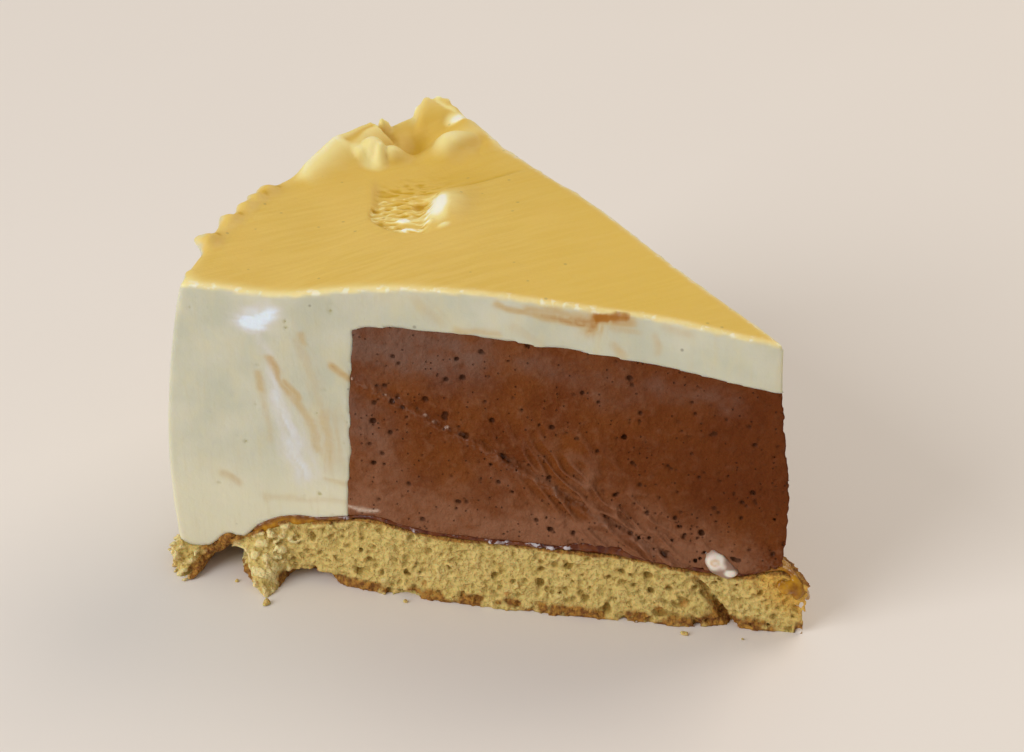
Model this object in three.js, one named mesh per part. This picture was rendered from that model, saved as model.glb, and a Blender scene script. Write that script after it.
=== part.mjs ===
// A slice of bavarian cream cake: an eighth of a round cake that was set in a ring.
// From the bottom up it is a sponge base, a film of jam, a chocolate cream insert that reaches the slice's tip,
// and vanilla cream over and around the insert.
// Millimetres, +Z up. The front cut faces -Y, the tip points along +X and the ring-moulded side is at -X.
import * as THREE from 'three';
import { mergeVertices } from 'three/addons/utils/BufferGeometryUtils.js';

const { smoothstep, lerp, degToRad } = THREE.MathUtils;

// The slice as a whole
const CAKE_RADIUS = 99.5; // from the tip to the top edge of the moulded side
const SLICE_ANGLE = degToRad(46.5);
const RIM_HEIGHT = 56.5; // top of the vanilla cream at the moulded side
const TIP_PLACE = new THREE.Vector2(48.7, -35.6); // the tip's axis, from the middle of the slice's box
const GAP = 0.3; // left open between neighbouring layers

// How the soft creams have settled
const BELLY = 4; // the moulded side swells by this much
const BELLY_HEIGHT = 22;
const BELLY_REACH = 35; // height over which the swelling fades
const TIP_FLARE = 2.6; // the tip swells by this much
const TIP_FLARE_HEIGHT = 22;
const FRONT_LEAN = 4.2; // the middle of the front cut leans back from foot to top
const FAR_LEAN = 2.4;

// The top of the vanilla cream
const CROWN = 2; // rise half-way from tip to rim
const TIP_SAG = 1.2;
const RIM_DIP = 0.7;
const CRAG = 1.9; // height of the torn crags along the rim
const CRAG_OVERHANG = 0.9;
// Dents and smears, placed from the tip: `turn` is the long side's direction in plan
const SMEARS = [
  { x: -77.5, y: 49, long: 5.5, wide: 3.6, turn: degToRad(20), height: 3 }, // pale lump near the rim
  { x: -66.5, y: 57, long: 4.8, wide: 2.8, turn: degToRad(47), height: 2.8 }, // oval bump
  { x: -69.5, y: 66, long: 6, wide: 3.8, turn: degToRad(46), height: 4.4 }, // ridge pushed up at the far corner
  { x: -72, y: 54, long: 3.6, wide: 2.2, turn: degToRad(60), height: -1.4 }, // hollow between lump and bump
  { x: -61.5, y: 59, long: 5, wide: 2, turn: degToRad(50), height: -1.1 }, // hollow beside the bump
  { x: -68, y: 29, long: 7.5, wide: 6, turn: 0, height: -1.7 }, // scooped patch
  { x: -60, y: 33.5, long: 3.4, wide: 2.4, turn: degToRad(70), height: 1.6 }, // knob at the patch's end
  { x: -54, y: 45, long: 9, wide: 1.8, turn: degToRad(40), height: -0.7 }, // drag mark towards the far cut
];

// The chocolate insert
const INSERT_RADIUS = 71.2; // at its top edge
const INSERT_FLARE = 1.5; // wider by this at its foot
const INSERT_TIP_TOP = 46;
const INSERT_RISE = 4.7; // its top climbs by this from the tip outwards
const INSERT_EDGE_DROP = 0.5;
const INSERT_TIP_LIFT = 0.9; // its foot is worn away at the tip

// The jam film
const JAM_THICKNESS = 0.9;
const JAM_TIP_PROUD = 3.2; // stands past the creams' tip

// The sponge base
const SPONGE_HEIGHT = 12.2;
const SPONGE_BULGE = 1.9; // thickest just inside the insert's edge
const SPONGE_TIP_DROP = 3.5;
const SPONGE_RIM_DROP = 8.6;
const SPONGE_TIP_PROUD = 4;
const SPONGE_TIP_LUMP = 2.6; // the broken tip is pushed up under the insert's end
const SPONGE_RIM_PROUD = 1.2;
const CRUMB_ROUGHNESS = 0.9;
// Where the front cut's foot has crumbled: `at` is the distance from the tip, `depth` is negative where crumb sticks out
const CRUMBLES = [
  { at: 93.6, half: 3, top: 5, depth: 9 }, // hollow under the rim
  { at: 79, half: 5, top: 2.4, depth: 3.6 }, // shallow hollow
  { at: 88, half: 2.6, top: 7, depth: -5 }, // tongue of crumb
  { at: 62.5, half: 2.4, top: 2, depth: 1.6 }, // small chip
  { at: 8.5, half: 1.5, top: 10, depth: 3.2 }, // crack that frees the tip
  { at: 1, half: 5.5, top: 9, depth: -1.2 }, // broken tip
];
const FAR_TIP_PROUD = 2.6; // the broken tip sticks out of the far cut too

// Mesh steps
const CREAM_ROWS = 36;
const CREAM_INSERT_ROWS = 26; // rows from the tip to the insert's edge
const WALL_LEVELS = 7; // below the insert's top
const CAP_LEVELS = 2; // above it
const INSERT_ROWS = 24;
const SPONGE_ROWS = 38; // the jam follows the same rows
const SPONGE_LEVELS = 7;

const bell = (value, centre, width) => Math.exp(-(((value - centre) / width) ** 2));
const plateau = (value, low, lowFull, highFull, high) =>
  smoothstep(value, low, lowFull) * (1 - smoothstep(value, highFull, high));

// Repeatable unevenness between -1 and 1 that varies smoothly along two directions
function unevenness(a, b) {
  const scatter = (i, j) => {
    const noise = Math.sin(i * 127.1 + j * 311.7) * 43758.5453;
    return 2 * (noise - Math.floor(noise)) - 1;
  };
  const [i, j] = [Math.floor(a), Math.floor(b)];
  const [u, v] = [smoothstep(a - i, 0, 1), smoothstep(b - j, 0, 1)];
  return lerp(lerp(scatter(i, j), scatter(i + 1, j), u), lerp(scatter(i, j + 1), scatter(i + 1, j + 1), u), v);
}

// The settled form, shared by every layer.
// A point is named by `reach`, its share of the cake's radius, `turn`, its share of the slice's angle from
// the front cut to the far cut, and its height.

const belly = (height) => BELLY * Math.max(0, 1 - ((height - BELLY_HEIGHT) / BELLY_REACH) ** 2);
const tipFlare = (height) => TIP_FLARE * bell(height, TIP_FLARE_HEIGHT, 18) * (1 - smoothstep(height, 46, 56));
const lean = (reach, height) => (height / RIM_HEIGHT - 0.5) * plateau(reach, 0.03, 0.25, 0.62, 0.86);

function settled(reach, turn, height) {
  const angle = turn * SLICE_ANGLE;
  const radius = CAKE_RADIUS * reach + belly(height) * smoothstep(reach, 0.7, 1);
  const point = new THREE.Vector3(-radius * Math.cos(angle), radius * Math.sin(angle), height);
  const front = FRONT_LEAN * lean(reach, height) * (1 - turn) ** 2;
  const far = FAR_LEAN * lean(reach, height) * turn ** 2;
  point.x += tipFlare(height) * (1 - smoothstep(reach, 0, 0.35)) - far * Math.sin(SLICE_ANGLE);
  point.y += front - far * Math.cos(SLICE_ANGLE);
  return point;
}

// Heights where the layers meet

// Distance outwards from the cake's axis for a layer whose tip stands `proud` of the creams' tip
const fromAxis = (reach, proud) =>
  CAKE_RADIUS * reach - tipFlare(SPONGE_HEIGHT) * (1 - smoothstep(reach, 0, 0.35)) - proud * (1 - smoothstep(reach, 0, 0.14));

const spongeTop = (reach, proud = 0) =>
  SPONGE_HEIGHT +
  SPONGE_BULGE * bell(reach, 0.69, 0.07) -
  SPONGE_TIP_DROP * (1 - smoothstep(reach, 0, 0.3)) +
  SPONGE_TIP_LUMP * bell(fromAxis(reach, proud), -1.5, 5) -
  SPONGE_RIM_DROP * smoothstep(reach, 0.82, 1);

const creamFoot = (reach) => spongeTop(reach) + JAM_THICKNESS + 2 * GAP + INSERT_TIP_LIFT * bell(reach, 0, 0.05);

const insertRadius = (height) => INSERT_RADIUS + INSERT_FLARE * (1 - height / INSERT_TIP_TOP);

const insertTop = (reach) =>
  INSERT_TIP_TOP +
  INSERT_RISE * Math.sin((Math.min(reach / 0.62, 1) * Math.PI) / 2) -
  INSERT_EDGE_DROP * smoothstep(reach, 0.64, 0.72);

const crag = (turn) => Math.max(0, Math.sin(57 * turn + 1.3) * Math.sin(33 * turn)) * plateau(turn, 0.02, 0.06, 0.9, 1);

function smear({ x, y, long, wide, turn, height }, at) {
  const along = (at.x - x) * Math.cos(turn) + (at.y - y) * Math.sin(turn);
  const across = (at.y - y) * Math.cos(turn) - (at.x - x) * Math.sin(turn);
  return height * Math.exp(-(((along / long) ** 2 + (across / wide) ** 2) ** 1.5));
}

function creamTop(reach, turn) {
  const at = settled(reach, turn, RIM_HEIGHT);
  const plain =
    RIM_HEIGHT +
    CROWN * bell(reach, 0.52, 0.25) -
    TIP_SAG * bell(reach, 0, 0.1) -
    RIM_DIP * bell(reach, 0.84, 0.07);
  const relief = SMEARS.reduce((sum, one) => sum + smear(one, at), 0);
  return plain + relief + CRAG * crag(turn) * smoothstep(reach, 0.96, 1);
}

// A closed skin, gathered patch by patch. Patches that meet use the same points, which are merged at the end.
class Skin {
  corners = [];

  triangle(a, b, c) {
    this.corners.push(a, b, c);
  }

  // The slice's plan between two rows: row i is an arc of i steps, so the tip is one point
  plan(firstRow, lastRow, point, facesUp) {
    for (let i = firstRow; i < lastRow; i += 1) {
      for (let j = 0; j <= i; j += 1) {
        const [near, out, outNext] = [point(i, j), point(i + 1, j), point(i + 1, j + 1)];
        this.triangle(near, ...(facesUp ? [outNext, out] : [out, outNext]));
        if (j < i) this.triangle(near, ...(facesUp ? [point(i, j + 1), outNext] : [outNext, point(i, j + 1)]));
      }
    }
  }

  // A wall of columns and levels, seen from outside with its columns running from left to right
  wall(columns, levels, point) {
    for (let c = 0; c < columns; c += 1) {
      for (let k = 0; k < levels; k += 1) {
        const [low, lowNext] = [point(c, k), point(c + 1, k)];
        const [high, highNext] = [point(c, k + 1), point(c + 1, k + 1)];
        this.triangle(low, lowNext, highNext);
        this.triangle(low, highNext, high);
      }
    }
  }

  // A flat floor inside a loop of points
  floor(loop) {
    const outline = loop.map(({ x, y }) => new THREE.Vector2(x, y));
    for (const corners of THREE.ShapeUtils.triangulateShape(outline, [])) {
      const facesDown = THREE.ShapeUtils.isClockWise(corners.map((n) => outline[n]));
      this.triangle(...(facesDown ? corners : corners.toReversed()).map((n) => loop[n]));
    }
  }

  geometry() {
    const points = new THREE.BufferGeometry().setFromPoints(this.corners);
    const merged = mergeVertices(points, 1e-3);
    const kept = [];
    for (let i = 0; i < merged.index.count; i += 3) {
      const [a, b, c] = [0, 1, 2].map((n) => merged.index.getX(i + n));
      if (a !== b && b !== c && c !== a) kept.push(a, b, c);
    }
    merged.setIndex(kept);
    merged.computeVertexNormals();
    return merged;
  }
}

// The share of the slice's angle at step j of row i
const turnOf = (i, j) => (i === 0 ? 0.5 : j / i);

// A layer that fills the whole plan between its foot and its top
function layer(rows, levels, point) {
  const skin = new Skin();
  skin.plan(0, rows, (i, j) => point(i, j, levels), true);
  skin.plan(0, rows, (i, j) => point(i, j, 0), false);
  addWalls(skin, rows, levels, point);
  return skin.geometry();
}

// The front cut, the far cut and the outer side of a layer
function addWalls(skin, rows, levels, point) {
  skin.wall(rows, levels, (c, k) => point(rows - c, 0, k));
  skin.wall(rows, levels, (c, k) => point(c, c, k));
  skin.wall(rows, levels, (c, k) => point(rows, rows - c, k));
}

function spongeGeometry() {
  const point = (i, j, k) => {
    const reach = i / SPONGE_ROWS;
    const turn = turnOf(i, j);
    const height = (spongeTop(reach, SPONGE_TIP_PROUD) * k) / SPONGE_LEVELS;
    const at = settled(reach, turn, height);
    const fromTip = CAKE_RADIUS * reach;
    const nearTip = 1 - smoothstep(reach, 0, 0.14);
    let pushedIn = 0.5 * CRUMB_ROUGHNESS * unevenness(fromTip / 3.5, height / 3);
    for (const { at: place, half, top, depth } of CRUMBLES) {
      pushedIn += depth * bell(fromTip, place, half) * (1 - smoothstep(height, 0.7 * top, 1.3 * top));
    }
    const pushedOut = FAR_TIP_PROUD * nearTip + CRUMB_ROUGHNESS * unevenness(fromTip / 4 + 40, height / 3);
    const atRim = smoothstep(reach, 0.9, 1) * (1 - (k / SPONGE_LEVELS) ** 3);
    const spread = atRim * (SPONGE_RIM_PROUD + CRUMB_ROUGHNESS * unevenness(28 * turn, height / 2.5 + 9));
    at.x += SPONGE_TIP_PROUD * nearTip + pushedOut * turn ** 2 * Math.sin(SLICE_ANGLE);
    at.y += pushedIn * (1 - turn) ** 2 + pushedOut * turn ** 2 * Math.cos(SLICE_ANGLE);
    at.x -= spread * Math.cos(turn * SLICE_ANGLE);
    at.y += spread * Math.sin(turn * SLICE_ANGLE);
    return at;
  };
  const skin = new Skin();
  skin.plan(0, SPONGE_ROWS, (i, j) => point(i, j, SPONGE_LEVELS), true);
  addWalls(skin, SPONGE_ROWS, SPONGE_LEVELS, point);
  const foot = [];
  for (let i = 0; i < SPONGE_ROWS; i += 1) foot.push(point(i, 0, 0));
  for (let j = 0; j < SPONGE_ROWS; j += 1) foot.push(point(SPONGE_ROWS, j, 0));
  for (let i = SPONGE_ROWS; i > 0; i -= 1) foot.push(point(i, i, 0));
  skin.floor(foot);
  return skin.geometry();
}

function jamGeometry() {
  return layer(SPONGE_ROWS, 1, (i, j, k) => {
    const reach = i / SPONGE_ROWS;
    const height = spongeTop(reach, JAM_TIP_PROUD) + GAP + JAM_THICKNESS * k;
    const at = settled(reach, turnOf(i, j), height);
    at.x += JAM_TIP_PROUD * (1 - smoothstep(reach, 0, 0.14));
    return at;
  });
}

function chocolateGeometry() {
  return layer(INSERT_ROWS, WALL_LEVELS, (i, j, k) => {
    const plainReach = ((i / INSERT_ROWS) * INSERT_RADIUS) / CAKE_RADIUS;
    const height = lerp(creamFoot(plainReach), insertTop(plainReach), k / WALL_LEVELS);
    const reach = ((i / INSERT_ROWS) * insertRadius(height)) / CAKE_RADIUS;
    return settled(reach, turnOf(i, j), height);
  });
}

function vanillaGeometry() {
  const levels = WALL_LEVELS + CAP_LEVELS;
  const rowReach = (i, edge) =>
    i <= CREAM_INSERT_ROWS
      ? (edge * i) / CREAM_INSERT_ROWS
      : lerp(edge, 1, (i - CREAM_INSERT_ROWS) / (CREAM_ROWS - CREAM_INSERT_ROWS));
  const point = (i, j, k) => {
    const turn = turnOf(i, j);
    const plainReach = rowReach(i, INSERT_RADIUS / CAKE_RADIUS);
    const cap = insertTop(plainReach) + GAP;
    const height =
      k <= WALL_LEVELS
        ? lerp(creamFoot(plainReach), cap, k / WALL_LEVELS)
        : lerp(cap, creamTop(plainReach, turn), (k - WALL_LEVELS) / CAP_LEVELS);
    const at = settled(rowReach(i, (insertRadius(height) + GAP) / CAKE_RADIUS), turn, height);
    if (i === CREAM_ROWS && k === levels) at.x -= CRAG_OVERHANG * crag(turn);
    return at;
  };
  const skin = new Skin();
  const lowRows = CREAM_ROWS - CREAM_INSERT_ROWS;
  skin.plan(0, CREAM_ROWS, (i, j) => point(i, j, levels), true);
  skin.plan(0, CREAM_INSERT_ROWS, (i, j) => point(i, j, WALL_LEVELS), false);
  skin.plan(CREAM_INSERT_ROWS, CREAM_ROWS, (i, j) => point(i, j, 0), false);
  skin.wall(CREAM_ROWS, CAP_LEVELS, (c, k) => point(CREAM_ROWS - c, 0, WALL_LEVELS + k));
  skin.wall(CREAM_ROWS, CAP_LEVELS, (c, k) => point(c, c, WALL_LEVELS + k));
  skin.wall(CREAM_ROWS, CAP_LEVELS, (c, k) => point(CREAM_ROWS, CREAM_ROWS - c, WALL_LEVELS + k));
  skin.wall(lowRows, WALL_LEVELS, (c, k) => point(CREAM_ROWS - c, 0, k));
  skin.wall(lowRows, WALL_LEVELS, (c, k) => point(CREAM_INSERT_ROWS + c, CREAM_INSERT_ROWS + c, k));
  skin.wall(CREAM_ROWS, WALL_LEVELS, (c, k) => point(CREAM_ROWS, CREAM_ROWS - c, k));
  skin.wall(CREAM_INSERT_ROWS, WALL_LEVELS, (c, k) => point(CREAM_INSERT_ROWS, c, k));
  return skin.geometry();
}

// Each layer with its own finish
function layerMesh(name, geometry, color, roughness) {
  const mesh = new THREE.Mesh(geometry, new THREE.MeshStandardMaterial({ color, roughness, metalness: 0 }));
  mesh.name = name;
  return mesh;
}

const slice = new THREE.Group();
slice.position.set(TIP_PLACE.x, TIP_PLACE.y, 0);
slice.add(
  layerMesh('sponge_base', spongeGeometry(), '#c9b06a', 0.95),
  layerMesh('jam_film', jamGeometry(), '#8a4a12', 0.25),
  layerMesh('chocolate_cream', chocolateGeometry(), '#6b4232', 0.55),
  layerMesh('vanilla_cream', vanillaGeometry(), '#e6d8a2', 0.5),
);

const cake = new THREE.Group();
cake.add(slice);

export default cake;
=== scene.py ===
"""A slice of bavarian cream cake: crumbly sponge, a wet film of jam, chocolate cream and vanilla cream.

Shapes are worked out in millimetres from the cake's axis, which stands at the slice's tip: x runs out of the
tip, y from the front cut to the far cut and z up. Each piece is a field of distances to its surface, negative
inside.
"""
import math
from collections import namedtuple

import bpy
import numpy as np
import openvdb
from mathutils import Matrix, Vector


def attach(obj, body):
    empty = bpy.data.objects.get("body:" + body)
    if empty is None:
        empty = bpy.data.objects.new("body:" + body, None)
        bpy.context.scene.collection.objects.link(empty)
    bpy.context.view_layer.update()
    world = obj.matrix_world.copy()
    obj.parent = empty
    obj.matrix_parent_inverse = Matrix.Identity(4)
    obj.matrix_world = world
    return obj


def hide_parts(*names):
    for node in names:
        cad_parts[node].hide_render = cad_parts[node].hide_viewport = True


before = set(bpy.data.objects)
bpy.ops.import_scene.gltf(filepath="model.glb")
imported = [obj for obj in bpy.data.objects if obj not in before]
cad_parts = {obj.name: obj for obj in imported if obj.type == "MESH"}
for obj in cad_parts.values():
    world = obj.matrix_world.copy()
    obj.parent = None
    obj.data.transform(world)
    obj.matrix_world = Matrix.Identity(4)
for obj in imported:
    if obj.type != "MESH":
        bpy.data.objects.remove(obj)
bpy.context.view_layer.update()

MM = 0.001
TIP_PLACE = np.array([48.7, -35.6, 0.0])  # the cake's axis in the model's frame

# The slice as a whole
CAKE_RADIUS = 99.5
SLICE_ANGLE = math.radians(46.5)
RIM_HEIGHT = 56.5
FAR_NORMAL = (math.sin(SLICE_ANGLE), math.cos(SLICE_ANGLE))

# How the soft creams have settled
BELLY = 4.0
BELLY_HEIGHT = 22.0
BELLY_REACH = 35.0
TIP_FLARE = 2.6
TIP_FLARE_HEIGHT = 22.0
FRONT_LEAN = 4.2
FAR_LEAN = 2.4

# The top of the vanilla cream
CROWN = 2.0
TIP_SAG = 1.2
RIM_DIP = 0.7

# The chocolate insert
INSERT_RADIUS = 71.2
INSERT_FLARE = 1.5
INSERT_TIP_TOP = 46.0
INSERT_RISE = 4.7
INSERT_EDGE_DROP = 0.5
INSERT_OVERLAP = 1.2  # how far the chocolate sinks into the vanilla around it

# The sponge base and the jam on it
SPONGE_HEIGHT = 12.2
SPONGE_BULGE = 1.9
SPONGE_TIP_DROP = 3.5
SPONGE_TIP_LUMP = 2.6
SPONGE_RIM_DROP = 8.6
SPONGE_TIP_PROUD = 2.9
SPONGE_RAGS = [(94.3, 2.4, 2.4), (99, 3, 1.2), (103, 1.8, 2.0)]  # distance from the axis, half width, rise
JAM_LIFT = 0.5  # from the sponge's top to the middle of the film
JAM_THICKNESS = 0.85

# Side of the small cubes that each piece's surface is drawn through
VANILLA_CELL = 0.43
CHOCOLATE_CELL = 0.32
JAM_CELL = 0.38
SPONGE_CELL = 0.31
SMALL_CELL = 0.2  # for the fleck and the loose crumbs
HIDDEN_FACES_KEPT = 0.06  # share of the faces that stay where the surface is hidden inside the slice


# Fields of distances


def smoothstep(value, low, high):
    share = np.clip((value - low) / (high - low), 0, 1)
    return share * share * (3 - 2 * share)


def bell(value, centre, width):
    return np.exp(-(((value - centre) / width) ** 2))


def plateau(value, low, low_full, high_full, high):
    return smoothstep(value, low, low_full) * (1 - smoothstep(value, high_full, high))


def joined(a, b, soft):
    """Both shapes together, with a fillet about `soft` wide where they meet."""
    share = np.clip(0.5 + 0.5 * (b - a) / soft, 0, 1)
    return b + (a - b) * share - soft * share * (1 - share)


def common(a, b, soft):
    """What two shapes have in common, with edges rounded over about `soft`."""
    return -joined(-a, -b, soft)


def wave_noise(u, v, seed):
    """Smooth noise from -1 to 1 over two directions, with lumps about 1 across."""
    side = 97
    table = np.random.default_rng(seed).uniform(-1, 1, (side, side)).astype(np.float32)
    i, j = np.floor(u).astype(int), np.floor(v).astype(int)
    a, b = smoothstep(u - i, 0, 1), smoothstep(v - j, 0, 1)
    i, j, i_next, j_next = i % side, j % side, (i + 1) % side, (j + 1) % side
    low = table[i, j] * (1 - a) + table[i_next, j] * a
    high = table[i, j_next] * (1 - a) + table[i_next, j_next] * a
    return low * (1 - b) + high * b


class Block:
    """Space around a piece, divided into small cubes."""

    def __init__(self, low, high, cell):
        self.low = np.array(low, np.float32)
        self.cell = cell
        self.shape = tuple(int(math.ceil((h - l) / cell)) + 1 for l, h in zip(low, high))
        self.axes = [l + cell * np.arange(n, dtype=np.float32) for l, n in zip(self.low, self.shape)]
        self.x = self.axes[0][:, None, None]
        self.y = self.axes[1][None, :, None]
        self.z = self.axes[2][None, None, :]

    def noise(self, size, seed):
        """Smooth noise through the block, with lumps about `size` across, one number or one an axis."""
        sizes = (size,) * 3 if np.isscalar(size) else size
        weights = []
        for axis, step in zip(self.axes, sizes):
            at = (axis - axis[0]) / step
            knots = np.arange(int(at[-1]) + 4) - 1
            away = np.abs(at[:, None] - knots[None, :])
            near = 2 / 3 - away**2 + away**3 / 2
            weights.append(np.where(away < 1, near, np.clip(2 - away, 0, None) ** 3 / 6).astype(np.float32))
        field = np.random.default_rng(seed).uniform(-2, 2, [w.shape[1] for w in weights]).astype(np.float32)
        for n, weight in enumerate(weights):
            field = np.moveaxis(np.tensordot(weight, field, (1, n)), 0, n)
        return field

    def window(self, centre, reach):
        """The part of the block within `reach` of a point: its index ranges, or None outside the block."""
        ranges = []
        for axis, place in zip(self.axes, centre):
            first, last = np.searchsorted(axis, (place - reach, place + reach))
            if first == last:
                return None
            ranges.append(slice(first, last))
        return tuple(ranges)

    def offsets(self, ranges, centre):
        """Distances along x, y and z from a point, over a window."""
        return [
            axis[part].reshape([-1 if k == n else 1 for k in range(3)]) - centre[n]
            for n, (axis, part) in enumerate(zip(self.axes, ranges))
        ]

    def cut_bubbles(self, field, centres, radii, stretch=(1, 1, 1), soft=0.15, uneven=None):
        """Takes bubbles, out of round by a share `uneven`, out of a shape, with edges rounded by `soft`."""
        for centre, radius in zip(centres, radii):
            ranges = self.window(centre, 1.4 * radius * max(stretch) + 2 * self.cell)
            if ranges:
                dx, dy, dz = (d / s for d, s in zip(self.offsets(ranges, centre), stretch))
                size = radius if uneven is None else radius * (1 + uneven[ranges])
                bubble = size - np.sqrt(dx * dx + dy * dy + dz * dz)
                field[ranges] = common(field[ranges], bubble, soft)

    def add_lumps(self, field, centres, radii, stretch=(1, 1, 1), soft=0.35, limit=None):
        """Joins round lumps onto a shape, each cut off where the field `limit` ends it."""
        for centre, radius in zip(centres, radii):
            ranges = self.window(centre, radius * max(stretch) + 1)
            if ranges:
                dx, dy, dz = (d / s for d, s in zip(self.offsets(ranges, centre), stretch))
                lump = np.sqrt(dx * dx + dy * dy + dz * dz) - radius
                if limit is not None:
                    lump = np.maximum(lump, limit[ranges])
                field[ranges] = joined(field[ranges], lump, soft)

    def sample(self, field, points):
        """A field's values at points, by straight-line interpolation."""
        field = np.broadcast_to(field, self.shape)
        at = (points - self.low) / self.cell
        at = np.clip(at, 0, np.array(self.shape) - 1.001)
        first = at.astype(int)
        share = (at - first).astype(np.float32)
        total = np.zeros(len(points), np.float32)
        for corner in np.ndindex(2, 2, 2):
            weight = np.prod(np.where(corner, share, 1 - share), axis=1)
            total += weight * field[tuple((first + corner).T)]
        return total

    def skin(self, field, whole=False):
        """The surface as points and four-sided faces, drawn onto the field: the largest body, or all."""
        grid = openvdb.FloatGrid(self.cell * 3)
        grid.copyFromArray(np.ascontiguousarray(field, np.float32))
        points, faces = (np.asarray(part) for part in grid.convertToQuads(isovalue=0.0))
        faces = faces.astype(np.int64)
        if not whole:
            points, faces = largest_body(points, faces)
        points = points * self.cell + self.low
        step = 0.5 * self.cell
        for _ in range(2):
            slope = np.stack(
                [
                    self.sample(field, points + step * side) - self.sample(field, points - step * side)
                    for side in np.eye(3, dtype=np.float32)
                ],
                axis=1,
            ) / (2 * step)
            steepness = np.maximum((slope * slope).sum(axis=1), 0.25)
            move = (self.sample(field, points) / steepness)[:, None] * slope
            points = points - np.clip(move, -step, step)
        return points, faces


def largest_body(points, faces):
    """Drops every part of a surface that isn't joined to its largest body."""
    label = np.arange(len(points))
    while True:
        lowest = label[faces].min(axis=1)
        new = label.copy()
        for corner in faces.T:
            np.minimum.at(new, corner, lowest)
        new = new[new]
        if (new == label).all():
            break
        label = new
    main = np.bincount(label).argmax()
    kept = label == main
    renumbered = np.cumsum(kept) - 1
    return points[kept], renumbered[faces[kept[faces[:, 0]]]]


# The settled form, shared by the layers


def belly(z):
    """How far the moulded side bulges out at a height."""
    return BELLY * np.clip(1 - ((z - BELLY_HEIGHT) / BELLY_REACH) ** 2, 0, None)


def tip_flare(z):
    """How far the tip has spread at a height."""
    return TIP_FLARE * bell(z, TIP_FLARE_HEIGHT, 18) * (1 - smoothstep(z, 46, 56))


def lean(reach, z):
    """Share of a cut's lean: inward in its upper half, outward in its lower half, none at its ends."""
    return (z / RIM_HEIGHT - 0.5) * plateau(reach, 0.03, 0.25, 0.62, 0.86)


Cuts = namedtuple("Cuts", "reach front far rim")


def slice_cuts(block, tip_proud=0.0):
    """Share of the cake's radius, and distances out of the front cut, the far cut and the moulded side."""
    rough_reach = np.hypot(block.x, block.y) / CAKE_RADIUS
    shift = tip_flare(block.z) * (1 - smoothstep(rough_reach, 0, 0.35))
    shift = shift + tip_proud * (1 - smoothstep(rough_reach, 0, 0.14))
    x = block.x - shift
    radius = np.sqrt(x * x + block.y**2)
    reach = radius / CAKE_RADIUS
    leaning = lean(reach, block.z)
    front = FRONT_LEAN * leaning - block.y
    far = x * FAR_NORMAL[0] + block.y * FAR_NORMAL[1] + FAR_LEAN * leaning
    return Cuts(reach, front, far, radius - CAKE_RADIUS - belly(block.z))


def sponge_top(reach, x, y):
    """Height of the sponge's top, which is ragged and higher at the rim end of the front cut."""
    ragged = sum(rise * bell(x, -at, half) for at, half, rise in SPONGE_RAGS)
    return (
        SPONGE_HEIGHT
        + SPONGE_BULGE * bell(reach, 0.69, 0.07)
        - SPONGE_TIP_DROP * (1 - smoothstep(reach, 0, 0.3))
        + SPONGE_TIP_LUMP * bell(x, 1.5, 5)
        - SPONGE_RIM_DROP * smoothstep(reach, 0.82, 1)
        + ragged * bell(y, 0, 4)
    )


def jam_missing(x, y):
    """How far the jam is gone, towards the rim end of the front cut."""
    return smoothstep(-x, 88.5, 91) * bell(y, 0, 6)


def jam_pool(x, y):
    """How much thicker the jam is where it has gathered at the front cut."""
    return 1.1 * plateau(-x, 23, 27, 32, 37) * bell(y, 0, 4)


def insert_field(block, reach):
    """Distance out of the chocolate insert's outer side and top, a little uneven."""
    radius = INSERT_RADIUS + INSERT_FLARE * (1 - block.z / INSERT_TIP_TOP)
    top = (
        INSERT_TIP_TOP
        + INSERT_RISE * np.sin(np.minimum(reach / 0.62, 1) * math.pi / 2)
        - INSERT_EDGE_DROP * smoothstep(reach, 0.64, 0.72)
    )
    wobble = 0.25 * wave_noise(block.x / 4, block.z / 4 + block.y / 5, 11)
    wobble = wobble + 0.12 * wave_noise(block.x / 1.3, block.z / 1.3 + block.y / 1.7, 12)
    return common(reach * CAKE_RADIUS - radius + wobble, block.z - top + wobble, 0.8)


# The top's relief

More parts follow.
